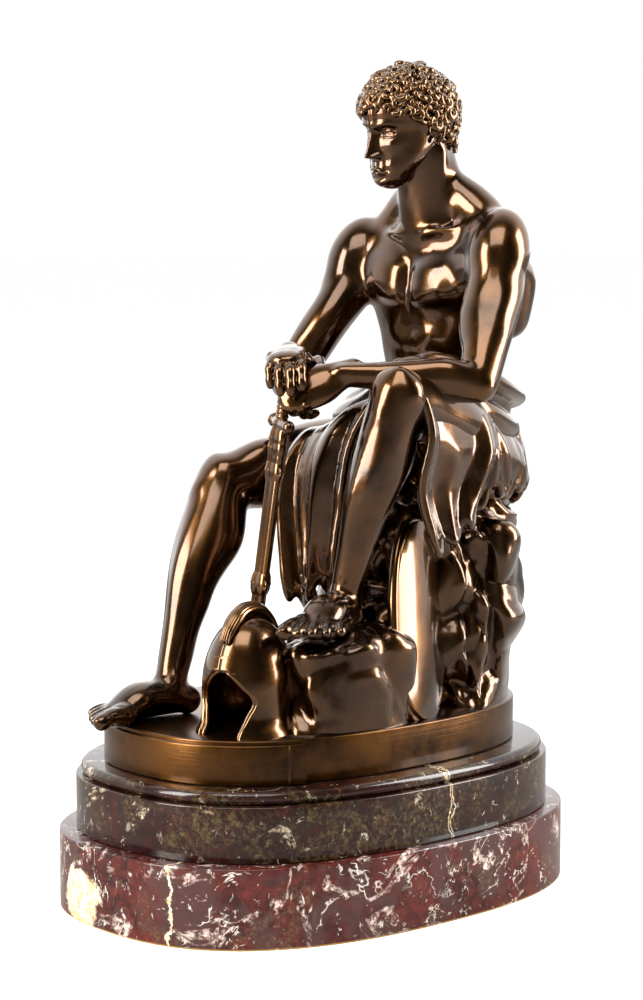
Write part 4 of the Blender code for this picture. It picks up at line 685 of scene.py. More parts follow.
def sword():
    # disc pommel, ribbed grip, straight guard with ball ends, flat sheath with a mid rib, bands and a tip
    size = swordSize
    axis = unit(pose["swordTip"] - pose["pommel"])
    wide = across(leftward + ahead * 0.5, axis)
    flatWay = np.cross(axis, wide)
    length = np.linalg.norm(pose["swordTip"] - pose["pommel"])
    guard, reach = size["guard"], size["guardHalf"]

    def at(down, out=0.0):
        return pose["pommel"] + axis * down + wide * out

    shapes = [ball(pose["pommel"], (size["pommel"], size["pommel"], 0.070), flatWay, axis, 30, 40)]
    shapes.append(ball(at(-0.055), (0.034, 0.034, 0.034), flatWay, axis))
    ribs = [(0.10 + size["ribStep"] * k, 0, 0.16, 0.030, 400) for k in range(size["ribs"])]
    shapes.append(limb([at(0.06), at(0.24), at(0.42)], [0.050, 0.060, 0.058], flatWay, wide, ribs,
                       flat=0.85,
                       rings=90, sides=28))
    shapes.append(strand([at(guard, -reach), at(guard), at(guard, reach)], [0.040, 0.056, 0.040], 40, 16))
    for way in (-1, 1):
        shapes.append(ball(at(guard, reach * way), (0.060, 0.054, 0.060), flatWay, axis, 20, 28))
    shapes.append(ball(at(guard), (0.10, 0.075, 0.060), flatWay, axis, 20, 28))
    ridge = [(0.5, 0, 0.45, 1.2, 14), (0.5, 180, 0.45, 1.2, 14)]
    shapes.append(limb([at(size["sheath"]), at(length * 0.5), at(length - 0.14)],
                       [0.128, 0.122, 0.114, 0.102],
                       flatWay, wide, ridge, flat=0.40, rings=60, sides=64))
    for down in (0.56, 0.64, 0.84, length * 0.62, length - 0.34):
        shapes.append(limb([at(down), at(down + size["band"])], [0.140, 0.140], flatWay, wide, ridge,
                           flat=0.46,
                           rings=6, sides=64))
    for down in (0.60, length - 0.30):
        shapes.append(limb([at(down), at(down + 0.15)], [0.134, 0.130], flatWay, wide, ridge, flat=0.44,
                           rings=10, sides=64))
    turn = np.linspace(0, 2 * math.pi, 17)[:, None]
    for way in (-1, 1):
        for down in (0.84, length * 0.62):
            circle = np.cos(turn) * wide * way + np.sin(turn) * axis
            loop = at(down + 0.01, 0.155 * way) + size["ring"] * circle
            shapes.append(strand(loop, [0.011, 0.011], 28, 8))
    shapes.append(ball(at(length - 0.08), (0.098, 0.070, 0.10), flatWay, axis, 24, 32))
    shapes.append(ball(at(length - 0.005), (0.040, 0.040, 0.040), flatWay, axis))
    return shapes


# opening: half of the face's gap, as an angle
helmetSize = {"half": 0.32, "deep": 0.38, "tall": 0.94, "wall": 0.045, "opening": 0.70, "tufts": 7,
              "tuft": 0.030}


def helmet():
    # a dome over a straight wall, open at the face: at each height the opening is an angle either side
    # of the front; then its rolled rim, brow band, temple scrolls, neck guard and ribbed crest
    size = helmetSize
    half, deep, tall = size["half"], size["deep"], size["tall"]
    place = pose["helmet"]
    turn = math.radians(pose["helmetTurn"])
    look = np.array((math.sin(turn), -math.cos(turn), 0))
    side = np.cross(look, up)

    def shell(v, u):
        gap = size["opening"] * np.where(v < 0.40, 1, np.clip((0.60 - v) / 0.20, 0, 1) ** 0.5)
        gap = gap + 0.16 * np.exp(-(((v - 0.32) / 0.09) ** 2)) - 0.20 * np.exp(-((v / 0.14) ** 2))
        bowl = np.sqrt(np.clip(1 - (np.clip(v - 0.42, 0, 1) / 0.583) ** 2, 0.0004, 1))
        out = bowl * (1 + 0.16 * np.exp(-((v / 0.10) ** 2)))
        angle = math.pi + u[None] * (math.pi - gap[:, None])
        rear = 0.10 * np.exp(-((v / 0.10) ** 2))[:, None] * np.clip(-np.cos(angle), 0, 1)
        x = np.sin(angle) * (half * out)[:, None]
        y = np.cos(angle) * ((deep * out)[:, None] + rear)
        height = np.broadcast_to((tall * v)[:, None], x.shape)
        return place + x[..., None] * side + y[..., None] * look + height[..., None] * up

    v = np.linspace(0, 1, 66)
    shapes = [sheet(shell(v, np.linspace(-1, 1, 121)), size["wall"])]
    level = np.linspace(0.0, 0.605, 40)
    for way in (-1.0, 1.0):
        shapes.append(strand(shell(level, np.array((way,)))[:, 0], [0.026, 0.020, 0.020, 0.022], 80, 12))
    shapes.append(strand(shell(np.array((0.012,)), np.linspace(-1, 1, 60))[0], [0.022, 0.024, 0.022], 120,
                         12))
    sweep = np.linspace(-0.60, 0.60, 21) * math.pi
    for lift, thick in ((0.0, 0.030), (0.055, 0.020), (0.100, 0.013)):
        bow = 0.58 + 0.09 * np.cos(sweep * 1.2) ** 2 + lift
        inset = np.sqrt(np.clip(1 - (np.clip(bow / tall - 0.42, 0, 1) / 0.583) ** 2, 0, 1))
        brow = (place + (np.sin(sweep) * (half * inset + 0.010))[:, None] * side
                + (np.cos(sweep) * (deep * inset + 0.012))[:, None] * look + bow[:, None] * up)
        shapes.append(strand(brow, [thick * 0.8, thick, thick * 1.2, thick, thick * 0.8], 90, 12))
    for way in (-1, 1):
        coil = np.linspace(0, 3.4, 22) * math.pi
        reach = 0.075 * (1 - coil / 14)
        centre = place + side * 0.325 * way - look * 0.10 + up * 0.545
        scroll = centre + (reach * np.cos(coil))[:, None] * look + (reach * np.sin(coil))[:, None] * up
        shapes.append(strand(scroll, [0.018, 0.018, 0.016, 0.014], 80, 10))
        shapes.append(ball(centre, (0.020, 0.026, 0.026), look))
    arc = np.linspace(0.70, 2.80, 31)
    spine = place + (np.cos(arc) * 0.385)[:, None] * look + (0.40 + np.sin(arc) * 0.565)[:, None] * up
    shapes.append(strand(spine, [0.030, 0.034, 0.034, 0.030], 60, 14))
    heading = unit(np.gradient(spine, axis=0))
    outward = across(spine - (place + up * 0.40), heading)
    middle = (size["tufts"] - 1) / 2
    for number in range(size["tufts"]):
        lean = (number - middle) / middle
        tuft = spine + outward * (0.055 + 0.030 * (1 - lean ** 2)) + side * 0.045 * lean
        tuft = tuft + outward * (0.020 * np.sin(np.linspace(0, math.pi, 31)))[:, None]
        shapes.append(strand(tuft, np.array((0.40, 1.0, 1.1, 1.1, 1.0, 0.55)) * size["tuft"], 90, 10))
    return shapes


# tall and broad are half of the board's height and width
shieldSize = {"tall": 0.86, "broad": 0.42, "thickness": 0.09, "dome": 0.09, "rim": 0.042}


def shield():
    # oval board, slightly domed and leaning on the rock, with a rolled rim
    lean = unit(np.array((-0.20, 0.16, 1.0)))
    facing = across(np.array((0.86, 0.30, 0.2)), lean)
    side = np.cross(lean, facing)
    tall, broad = shieldSize["tall"], shieldSize["broad"]
    middle = pose["shield"] + lean * tall
    u = np.linspace(-1, 1, 61)
    v = np.linspace(-1, 1, 91)
    reach = np.sqrt(np.clip(1 - np.abs(v) ** 2.6, 0.0009, 1))
    x = u[None] * reach[:, None] * broad
    z = np.broadcast_to((v * tall)[:, None], x.shape)
    dome = shieldSize["dome"] * np.clip(1 - (x / broad) ** 2 * 0.9 - (v[:, None] ** 4) * 0.25, 0, 1)
    grid = middle + x[..., None] * side + z[..., None] * lean + dome[..., None] * facing
    shapes = [sheet(grid, shieldSize["thickness"], facing)]
    turn = np.linspace(0, 2 * math.pi, 65)
    rimX = broad * np.sign(np.cos(turn)) * np.abs(np.cos(turn)) ** 0.85
    rimZ = tall * np.sign(np.sin(turn)) * np.abs(np.sin(turn)) ** 0.85
    rim = middle + rimX[:, None] * side + rimZ[:, None] * lean - facing * 0.02
    shapes.append(strand(rim, [shieldSize["rim"]] * 3, 160, 14))
    return shapes


# Rock and cloak

# each block: middle, half widths, height, depth of its lumps, seed, lean and taper; sink: how far they go
# down into the terrace
rockSize = {
    "sink": 0.08,
    "seat": ((0.12, 1.06), (0.86, 0.76), 1.86, 0.32, 0.6, (0.02, 0.06), -0.10),
    "seatLeft": ((0.62, 1.16), (0.46, 0.52), 1.66, 0.40, 2.1, (0.0, 0.0), 0.0),
    "ledge": ((0.87, -0.44), (0.46, 0.62), 0.82, 0.22, 4.0, (0.0, 0.0), 0.02),
    "behindLedge": ((0.50, 0.20), (0.50, 0.44), 1.05, 0.30, 1.3, (0.0, 0.0), 0.12),
    "backRight": ((-0.46, 1.28), (0.42, 0.40), 1.24, 0.36, 3.2, (0.0, 0.0), 0.12),
    "lowRight": ((-0.50, 0.62), (0.30, 0.32), 0.42, 0.26, 5.2, (0.0, 0.0), 0.12),
}


def boulder(centre, radii, height, lumps, seed, lean, shrink, rows=90, columns=150):
    # rings up the height, swollen by the sizes of slow sine waves, so round backs meet in sharp creases
    v = np.linspace(0, 1, rows)[:, None]
    turn = np.linspace(0, 2 * math.pi, columns, endpoint=False)[None]
    rough = height * v
    warp = turn + 0.35 * np.sin(2.0 * turn + seed) + 0.45 * np.sin(2.6 * rough + seed * 1.7)
    swell = 0.52 * np.abs(np.sin(2.5 * warp + 2.9 * rough + seed)) ** 0.9
    swell = swell + 0.44 * np.abs(np.sin(1.5 * warp - 4.4 * rough + seed * 2.3)) ** 0.9
    swell = swell + 0.16 * np.sin(4.5 * warp + 6.5 * rough + seed) ** 2
    close = np.sqrt(np.clip(1 - (np.clip(v - 0.80, 0, 1) / 0.205) ** 2, 0.003, 1))
    out = (1 - shrink * v + lumps * (swell - 0.58)) * (0.25 + 0.75 * close)
    x = centre[0] + radii[0] * out * np.cos(turn) + lean[0] * v
    y = centre[1] + radii[1] * out * np.sin(turn) + lean[1] * v
    z = np.broadcast_to(-rockSize["sink"] + (height + rockSize["sink"]) * v, x.shape)
    return np.stack([x, y, z], -1).reshape(-1, 3), loftFaces(rows, columns)


def rock():
    return [boulder(*block) for name, block in rockSize.items() if name != "sink"]


def folds(u, v, count, drift, seed):
    # round backs with narrow valleys across u that wander down v; every other one is larger, and small ones
    # die out on the way
    wave = count * u + drift * v + 0.30 * np.sin(2.6 * v + 3.0 * u + seed)
    wave = wave + 0.20 * np.sin(6.1 * u - 2.2 * v + seed)
    backs = (0.5 - 0.5 * np.cos(2 * math.pi * wave)) ** 0.62
    broad = 0.5 - 0.5 * np.cos(math.pi * wave + 1.1 + 1.6 * v)
    small = 0.5 - 0.5 * np.cos(5.0 * math.pi * wave + 3.0 * v)
    small = small * (0.5 + 0.5 * np.sin(4.0 * v + 5.0 * u + seed))
    return 0.58 * backs * (0.45 + 0.55 * broad) + 0.36 * broad + 0.06 * small


# rolledEdge: its radius as a share of the thickness; gather: depth of the folds at the top, as a share of
# that at the hem; rolls: height and radius of each roll of cloth round the hips
cloakSize = {"thickness": 0.085, "rolledEdge": 0.56, "gather": 0.35,
             "rolls": ((0.0, 0.115), (0.12, 0.095), (-0.08, 0.10), (0.20, 0.07))}


def drape(edgeA, edgeB, outward, count, depth, drift=0.0, seed=0.0, hem=0.0, rows=110, columns=220):
    # cloth between two edges: its folds run down it and deepen, its hem steps in zigzags, and a rolled edge
    # goes along its hem and its sides
    thickness, gather = cloakSize["thickness"], cloakSize["gather"]
    v = np.linspace(0, 1, rows)
    u = np.linspace(0, 1, columns)
    grid = (smoothThrough(edgeA, v)[:, None] * (1 - u)[None, :, None]
            + smoothThrough(edgeB, v)[:, None] * u[None, :, None])
    uu, vv = u[None], v[:, None]
    rise = folds(uu, vv, count, drift, seed) * depth * (gather + (1 - gather) * vv)
    rise = rise + 0.012 * (noiseAt(grid, 0.16, 7) - 0.5)
    zigzag = hem * 0.5 * np.cos(2 * math.pi * (count * uu + drift * vv + seed)) * vv ** 3
    cloth = grid + unit(outward) * rise[..., None] + up * zigzag[..., None]
    shapes = [sheet(cloth, thickness, unit(outward))]
    for edge in (cloth[-1], cloth[8:, 0], cloth[8:, -1]):
        line = edge[np.linspace(0, len(edge) - 1, 60).astype(int)] - unit(outward) * thickness * 0.5
        shapes.append(strand(line, [thickness * cloakSize["rolledEdge"]] * 2, 150, 10))
    return shapes


def cloak():
    # the cloak lies over the lap and the seat, falls between the knees and down over the rock, and goes
    # round the hips in rolls
    shapes = drape([(-0.44, 0.62, 2.36), (-0.24, 0.10, 2.32), (-0.18, -0.16, 1.95), (-0.12, -0.18, 1.3),
                     (-0.06, -0.16, 0.90)],
                    [(0.95, 0.55, 2.80), (0.80, 0.02, 2.74), (0.60, -0.16, 2.3), (0.52, -0.20, 1.6),
                     (0.48, -0.18, 1.16)],
                    (0.12, -1.0, 0.30), 3.6, 0.20, drift=0.5, seed=0.2, hem=0.16, rows=160)
    shapes += drape([(0.86, -0.06, 3.00), (1.24, -0.04, 2.86), (1.34, 0.06, 2.45), (1.24, 0.04, 1.95),
                         (1.28, 0.16, 1.46)],
                        [(0.62, 0.90, 2.70), (1.04, 0.96, 2.60), (1.18, 1.00, 2.25), (1.16, 0.96, 1.95),
                         (1.12, 0.90, 1.74)],
                        (0.95, -0.28, 0.25), 3.0, 0.17, drift=0.6, seed=0.7, hem=0.13)
    shapes += drape([(0.60, 0.86, 2.70), (1.04, 0.92, 2.55), (1.20, 0.98, 2.25), (1.18, 0.98, 1.92)],
                        [(0.50, 1.52, 2.48), (0.76, 1.64, 2.34), (0.86, 1.68, 2.08), (0.84, 1.64, 1.84)],
                        (0.90, 0.30, 0.40), 2.6, 0.13, drift=-0.5, seed=0.3, hem=0.10)
    shapes += drape([(0.56, 1.50, 2.50), (0.74, 1.68, 2.34), (0.84, 1.72, 1.86)],
                        [(0.08, 2.02, 2.40), (0.12, 2.20, 2.10), (0.14, 2.20, 1.66)],
                        (0.62, 0.72, 0.55), 3.2, 0.12, drift=0.2, seed=0.4, hem=0.12, rows=80, columns=160)
    shapes += drape([(0.12, 2.02, 2.40), (0.16, 2.20, 2.10), (0.18, 2.20, 1.68)],
                        [(-0.58, 1.56, 2.38), (-0.80, 1.62, 2.05), (-0.82, 1.54, 1.62)],
                        (-0.55, 0.75, 0.45), 4.0, 0.12, drift=0.2, seed=0.9, hem=0.12, rows=80, columns=160)
    bundle = np.array([(-0.52, 1.02, 2.38), (-0.34, 0.80, 2.46), (0.12, 0.66, 2.58), (0.66, 0.62, 2.80),
                       (0.98, 0.90, 2.70), (0.86, 1.38, 2.53), (0.54, 1.78, 2.42), (0.06, 1.93, 2.34),
                       (-0.42, 1.74, 2.30), (-0.60, 1.36, 2.32), (-0.52, 1.00, 2.38)])
    for number, (lift, size) in enumerate(cloakSize["rolls"]):
        path = bundle + up * lift + np.array((0.05, 0.05, 0)) * (number - 1.5)
        ridges = [(0.08 + 0.09 * k, 60 + 150 * math.sin(k * 1.3 + number), 0.4, 0.05,
                   34) for k in range(11)]
        shapes.append(limb(path, np.array((0.8, 1.25, 1.0, 1.0, 0.8)) * size, up, leftward, ridges,
                           rings=150, sides=40))
    return shapes


# From shapes to objects

def joined(name, shapes, scale, lift):
    points, faces, count = [], [], 0
    for shapePoints, shapeFaces in shapes:
        points.append(shapePoints)
        faces += [[i + count for i in face] for face in shapeFaces]
        count += len(shapePoints)
    mesh = bpy.data.meshes.new(name)
    mesh.from_pydata((np.concatenate(points) * scale + up * lift).tolist(), [], faces)
    mesh.shade_smooth()
    obj = bpy.data.objects.new(name, mesh)
    bpy.context.scene.collection.objects.link(obj)
    return obj


def settled(obj):
    # the object keeps the mesh that its modifiers make
    graph = bpy.context.evaluated_depsgraph_get()
    mesh = bpy.data.meshes.new_from_object(obj.evaluated_get(graph))
    obj.modifiers.clear()
    obj.data = mesh
    mesh.shade_smooth()
    return obj


def meshPoints(mesh):
    points = np.empty(len(mesh.vertices) * 3)
    mesh.vertices.foreach_get("co", points)
    return points.reshape(-1, 3)


def relax(obj, spots, passes):
    # moves each point towards the mean of its neighbours, by half the way times e to the minus square of
    # its distance from a spot over the spot's radius
    mesh = obj.data
    points = meshPoints(mesh)
    ends = np.empty(len(mesh.edges) * 2, dtype=np.int32)
    mesh.edges.foreach_get("vertices", ends)
    share = np.zeros(len(points))
    for place, radius in spots:
        away = np.linalg.norm(points - np.asarray(place) * headSize - up * groundHeight, axis=1)
        share = np.maximum(share, np.exp(-((away / (radius * headSize)) ** 2)))
    first, second = ends.reshape(-1, 2).T
    near = (share[first] > 0.01) | (share[second] > 0.01)
    first, second = first[near], second[near]
    count = len(points)
    neighbours = np.maximum(np.bincount(first, minlength=count) + np.bincount(second, minlength=count), 1)
    for turn in range(passes):
        total = np.stack([np.bincount(first, points[second, k], count)
                          + np.bincount(second, points[first, k], count) for k in range(3)], -1)
        mean = total / neighbours[:, None]
        points = points + (0.5 * share * (share > 0.01))[:, None] * (mean - points)
    mesh.vertices.foreach_set("co", points.ravel())
    mesh.update()


def bronzePiece(name, shapes, voxel=0.0, passes=4, most=190000, spots=(), blend=0):
    # closed shapes on the figure's scale; with a voxel size they are fused into one skin, smoothed, and
    # thinned to the most triangles it may have
    obj = joined(name, shapes, headSize, groundHeight)
    if voxel > 0:
        fuse = obj.modifiers.new("fuse", "REMESH")
        fuse.mode = "VOXEL"
        fuse.voxel_size = voxel
        fuse.use_smooth_shade = True
        soften = obj.modifiers.new("soften", "SMOOTH")
        soften.factor = 0.5
        soften.iterations = passes
        settled(obj)
        relax(obj, spots, blend)
        if 2 * len(obj.data.polygons) > most:
            thin = obj.modifiers.new("thin", "DECIMATE")
            thin.ratio = most / (2 * len(obj.data.polygons))
            settled(obj)
    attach(obj, "root")
    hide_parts("bronze_group")
    print(name, len(obj.data.polygons), "faces")
    return obj


def roughen(obj, amount, size, seed):
    # moves each point along its normal by billows of noise: the distance of the noise from its middle
    mesh = obj.data
    points = meshPoints(mesh)
    normals = np.empty(len(mesh.vertices) * 3)
    mesh.vertex_normals.foreach_get("vector", normals)
    normals = normals.reshape(-1, 3)
    stretched = points * (1.0, 1.0, 0.70)
    drift = np.stack([noiseAt(stretched, size * 1.3, seed + k) for k in (1, 2, 3)], -1) - 0.5
    billow = np.sqrt((noiseAt(stretched + drift * size * 1.2, size, seed) - 0.5) ** 2 * 4 + 0.02)
    fine = np.sqrt((noiseAt(stretched + drift * size * 0.5, size * 0.45, seed + 5) - 0.5) ** 2 * 4 + 0.03)
    rise = amount * (billow - 0.45 + 0.25 * (fine - 0.45))
    rise = rise * ramp(points[:, 2], groundHeight - 0.002, groundHeight + 0.012)
    points = points + normals * rise[:, None]
    # low down it is drawn in to the edge of the plate below it: the pull grows from 0.9 of the way out
    power, half = marbleSize["power"], np.array((terraceSize["width"], terraceSize["length"])) / 2 - 0.002
    out = np.maximum(np.sum(np.abs(points[:, :2] / half) ** power, axis=1) ** (1 / power), 1e-6)
    held = np.where(out > 0.9, 0.9 + 0.1 * np.tanh((out - 0.9) / 0.1), out) / out
    low = 1 - ramp(points[:, 2], groundHeight + 0.020, groundHeight + 0.070)
    points[:, :2] *= (1 + (held - 1) * low)[:, None]
    mesh.vertices.foreach_set("co", points.ravel())
    mesh.update()


def oval(length, width, count):
    # superellipse with its length along Y
    turn = np.linspace(0, 2 * math.pi, count, endpoint=False)
    c, s = np.cos(turn), np.sin(turn)
    power = marbleSize["power"]
    r = (np.abs(c) ** power + np.abs(s) ** power) ** (-1 / power)
    return np.column_stack([width / 2 * r * c, length / 2 * r * s])


def stacked(rings):
    # closed loft of plan outlines, each with its own height
    points = np.concatenate([np.column_stack([ring, np.full(len(ring), height)]) for ring, height in rings])
    return points, loftFaces(len(rings), len(rings[0][0]))


def rounded(bottom, top, ease, steps=5):
    # insets and heights of an edge that is rounded below and above
    turn = np.linspace(0, 0.5 * math.pi, steps)
    low = [(ease * (1 - math.sin(a)), bottom + ease * (1 - math.cos(a))) for a in turn]
    high = [(ease * (1 - math.cos(a)), top - ease * (1 - math.sin(a))) for a in turn]
    return low + high


def ovalSlab(length, width, profile):
    return stacked([(oval(length - 2 * inset, width - 2 * inset, marbleSize["points"]), height)
                    for inset, height in profile])


def terrace():
    # oval plate of bronze, the slightly lower and wider block under the forward foot, and a bead on its seam
    bottom = bronzeLow.z
    size = terraceSize
    shapes = [ovalSlab(size["length"], size["width"], rounded(bottom, groundHeight, size["ease"]))]
    wide = oval(size["length"] + 2 * size["blockProud"], size["width"] + 2 * size["blockProud"], 720)
    front = wide[wide[:, 1] < size["blockReach"] - size["length"] / 2]
    straight = np.linspace(front[-1], front[0], 60)[1:-1]
    outline = np.concatenate([front, straight])
    along = unit(np.roll(outline, -1, 0) - np.roll(outline, 1, 0))
    inward = np.column_stack([-along[:, 1], along[:, 0]])
    shapes.append(stacked([(outline + inward * inset, height)
                           for inset, height in rounded(bottom, groundHeight - size["blockDrop"],
                                                        size["ease"])]))
    low, high = bottom + 0.0006, groundHeight - size["blockDrop"] - 0.0006
    shapes.append(strand([(*size["seam"], low), (*size["seam"], high)], [size["seamHalf"]] * 2, 12, 10))
    return shapes


def lowerMarble():
    return [ovalSlab(lowerHigh.y - lowerLow.y, lowerHigh.x - lowerLow.x,
                     rounded(lowerLow.z, lowerHigh.z, marbleSize["ease"]))]


def upperMarble():
    # straight wall, narrow shelf, and a half round roll along the top edge
    radius, inset = marbleSize["rollRadius"], marbleSize["rollInset"]
    shelf = upperHigh.z - 2 * radius
    profile = rounded(upperLow.z, shelf, marbleSize["ease"])
    profile += [(inset + radius * 0.45, shelf)]
    for a in np.linspace(-0.42, 0.5, 15) * math.pi:
        profile.append((inset + radius * (1 - math.cos(a)), upperHigh.z - radius * (1 - math.sin(a))))
    return [ovalSlab(upperHigh.y - upperLow.y, upperHigh.x - upperLow.x, profile)]


# Finishes

def newMaterial(name, settings):
    material = bpy.data.materials.new(name)
    material.use_nodes = True
    tree = material.node_tree
    shader = tree.nodes["Principled BSDF"]
    for socket, value in settings.items():
        shader.inputs[socket].default_value = value
    place = tree.nodes.new("ShaderNodeTexCoord")
    return material, tree, shader, place.outputs["Object"]


def noiseNode(tree, vector, scale, detail=4.0, rough=0.55, distortion=0.0):
    node = tree.nodes.new("ShaderNodeTexNoise")
    node.inputs["Scale"].default_value = scale
    node.inputs["Detail"].default_value = detail
    node.inputs["Roughness"].default_value = rough
    node.inputs["Distortion"].default_value = distortion
    tree.links.new(vector, node.inputs["Vector"])
    return node


def rampNode(tree, value, stops):
    # black to white or coloured steps along a value: stops are (position, grey or colour)
    node = tree.nodes.new("ShaderNodeValToRGB")
    steps = node.color_ramp.elements
    while len(steps) < len(stops):
        steps.new(0.5)
    for step, (position, colour) in zip(steps, stops):
        step.position = position
        step.color = (*colour, 1) if isinstance(colour, tuple) else (colour, colour, colour, 1)
    tree.links.new(value, node.inputs["Fac"])
    return node.outputs["Color"]


def mixNode(tree, factor, first, second, blend="MIX"):
    node = tree.nodes.new("ShaderNodeMix")
    node.data_type = "RGBA"
    node.blend_type = blend
    for socket, value in ((node.inputs[0], factor), (node.inputs[6], first), (node.inputs[7], second)):
        if isinstance(value, bpy.types.NodeSocket):
            tree.links.new(value, socket)
        elif isinstance(value, tuple):
            socket.default_value = (*value, 1)
        else:
            socket.default_value = value
    return node.outputs[2]


def mathNode(tree, operation, first, second=0.0, clamp=False):
    node = tree.nodes.new("ShaderNodeMath")
    node.operation = operation
    node.use_clamp = clamp
    for socket, value in zip(node.inputs, (first, second)):
        if isinstance(value, bpy.types.NodeSocket):
            tree.links.new(value, socket)
        else:
            socket.default_value = value
    return node.outputs[0]


def bumpNode(tree, height, strength, distance):
    node = tree.nodes.new("ShaderNodeBump")
    node.inputs["Strength"].default_value = strength
    node.inputs["Distance"].default_value = distance
    tree.links.new(height, node.inputs["Height"])
    return node.outputs["Normal"]


# paintedHollowShade: painted shade, the near black brown that hollows and creases are darkened towards
bronzeLook = {
    "dark": (0.024, 0.0100, 0.0030), "warm": (0.150, 0.060, 0.0115), "rubbed": (0.34, 0.170, 0.048),
    "paintedHollowShade": (0.012, 0.0075, 0.0035), "mottle": 14.0, "speckle": 95.0, "grain": 1400.0,
}


def bronzeFinish(name, warmth=0.5, gloss=0.22, rub=0.5, grain=0.04, brushed=False):
    # dark patina over golden bronze: cloudy brown, rubbed light on its edges, and painted shade darkening its
    # hollows
    look = bronzeLook
    material, tree, shader, place = newMaterial(name,
                                                {"Metallic": 1.0, "Coat Weight": 0.3 if brushed else 1.0,
                                                       "Coat Roughness": 0.10, "Coat IOR": 1.42})
    clouds = rampNode(tree, noiseNode(tree, place, look["mottle"], 5.0).outputs["Fac"],
                      [(0.34, 0.0), (0.66, 1.0)])
    colour = mixNode(tree, mathNode(tree, "MULTIPLY", clouds, warmth, True), look["dark"], look["warm"])
    if not brushed:
        edges = tree.nodes.new("ShaderNodeNewGeometry").outputs["Pointiness"]
        worn = mathNode(tree, "MULTIPLY", rampNode(tree, edges, [(0.50, 0.0), (0.60, 1.0)]), rub, True)
        colour = mixNode(tree, worn, colour, look["rubbed"])
        # painted shade: where the pointiness is low, in hollows and creases, the colour goes towards near
        # black brown
        colour = mixNode(tree, rampNode(tree, edges, [(0.36, 0.85), (0.485, 0.0)]), colour, look["paintedHollowShade"])
    speckle = noiseNode(tree, place, look["speckle"], 6.0, 0.7).outputs["Fac"]
    colour = mixNode(tree, rampNode(tree, speckle, [(0.45, 0.0), (0.75, 0.35)]), colour, look["warm"])
    tree.links.new(colour, shader.inputs["Base Color"])
    sheen = mathNode(tree, "MULTIPLY", speckle, 0.16)
    tree.links.new(mathNode(tree, "ADD", sheen, gloss - 0.08), shader.inputs["Roughness"])
    if brushed:
        stretch = tree.nodes.new("ShaderNodeMapping")
        stretch.inputs["Scale"].default_value = (6.0, 6.0, 900.0)
        tree.links.new(place, stretch.inputs["Vector"])
        height = noiseNode(tree, stretch.outputs["Vector"], 1.0, 3.0).outputs["Fac"]
    else:
        height = noiseNode(tree, place, look["grain"], 2.0).outputs["Fac"]
    tree.links.new(bumpNode(tree, height, grain, 0.0004), shader.inputs["Normal"])
    return material


marbleLook = {
    "upper": {"ground": ((0.008, 0.0035, 0.003), (0.026, 0.0065, 0.005), (0.070, 0.013, 0.009)),
              "redShare": 0.25,
              "lace": ((0.045, 0.028, 0.009), (0.22, 0.150, 0.055)), "laceShare": 0.50,
              "grey": (0.030, 0.017, 0.013),
              "vein": (0.45, 0.38, 0.28), "veinShare": 0.28, "pale": (0.40, 0.32, 0.22), "paleShare": 0.08,
              "shift": (3.7, 1.2, 0.4), "depth": 0.42},
    "lower": {"ground": ((0.013, 0.004, 0.0035), (0.045, 0.009, 0.007), (0.125, 0.019, 0.013)),
              "redShare": 0.55,
              "lace": ((0.040, 0.022, 0.010), (0.19, 0.12, 0.060)), "laceShare": 0.30,
              "grey": (0.062, 0.030, 0.026),
              "vein": (0.62, 0.54, 0.46), "veinShare": 0.50, "pale": (0.55, 0.42, 0.35), "paleShare": 0.30,
              "shift": (0.3, 2.6, 1.9), "depth": 0.75},
    "glue": (0.45, 0.27, 0.06), "glueHeight": 0.0016,
}

# creamPatch: middle and radius; vein: its place along X and half width, on the wall at negative Y; crack: its
# place along Y and half width, on the wall at positive X
marbleMarks = {"creamPatch": (-0.030, -0.188, 0.014), "creamRadius": 0.024, "vein": 0.058,
               "veinHalf": 0.0011,
               "crack": 0.009, "crackHalf": 0.0007}


def veinNode(tree, place, scale, width, keep, seed):
    # thin wandering lines where a noise passes its middle value, broken up by a second noise
    shifted = tree.nodes.new("ShaderNodeVectorMath")
    shifted.operation = "ADD"
    tree.links.new(place, shifted.inputs[0])
    shifted.inputs[1].default_value = seed
    wander = noiseNode(tree, shifted.outputs[0], scale, 5.0, 0.55, 1.4).outputs["Fac"]
    away = mathNode(tree, "ABSOLUTE", mathNode(tree, "SUBTRACT", wander, 0.5))
    line = rampNode(tree, away, [(0.0, 1.0), (width, 0.0)])
    gaps = rampNode(tree, noiseNode(tree, shifted.outputs[0], scale * 1.7, 4.0, 0.6).outputs["Fac"],
                    [(0.66 - keep * 0.30, 0.0), (0.72 - keep * 0.28, 1.0)])
    return mathNode(tree, "MULTIPLY", line, gaps, True)


def maskNode(tree, place, scale, share, soft=0.05, detail=5.0, distortion=1.0):
    # patches that cover about the share given
    noise = noiseNode(tree, place, scale, detail, 0.6, distortion).outputs["Fac"]
    edge = 0.68 - 0.32 * share
    return rampNode(tree, noise, [(edge - soft, 0.0), (edge + soft, 1.0)])


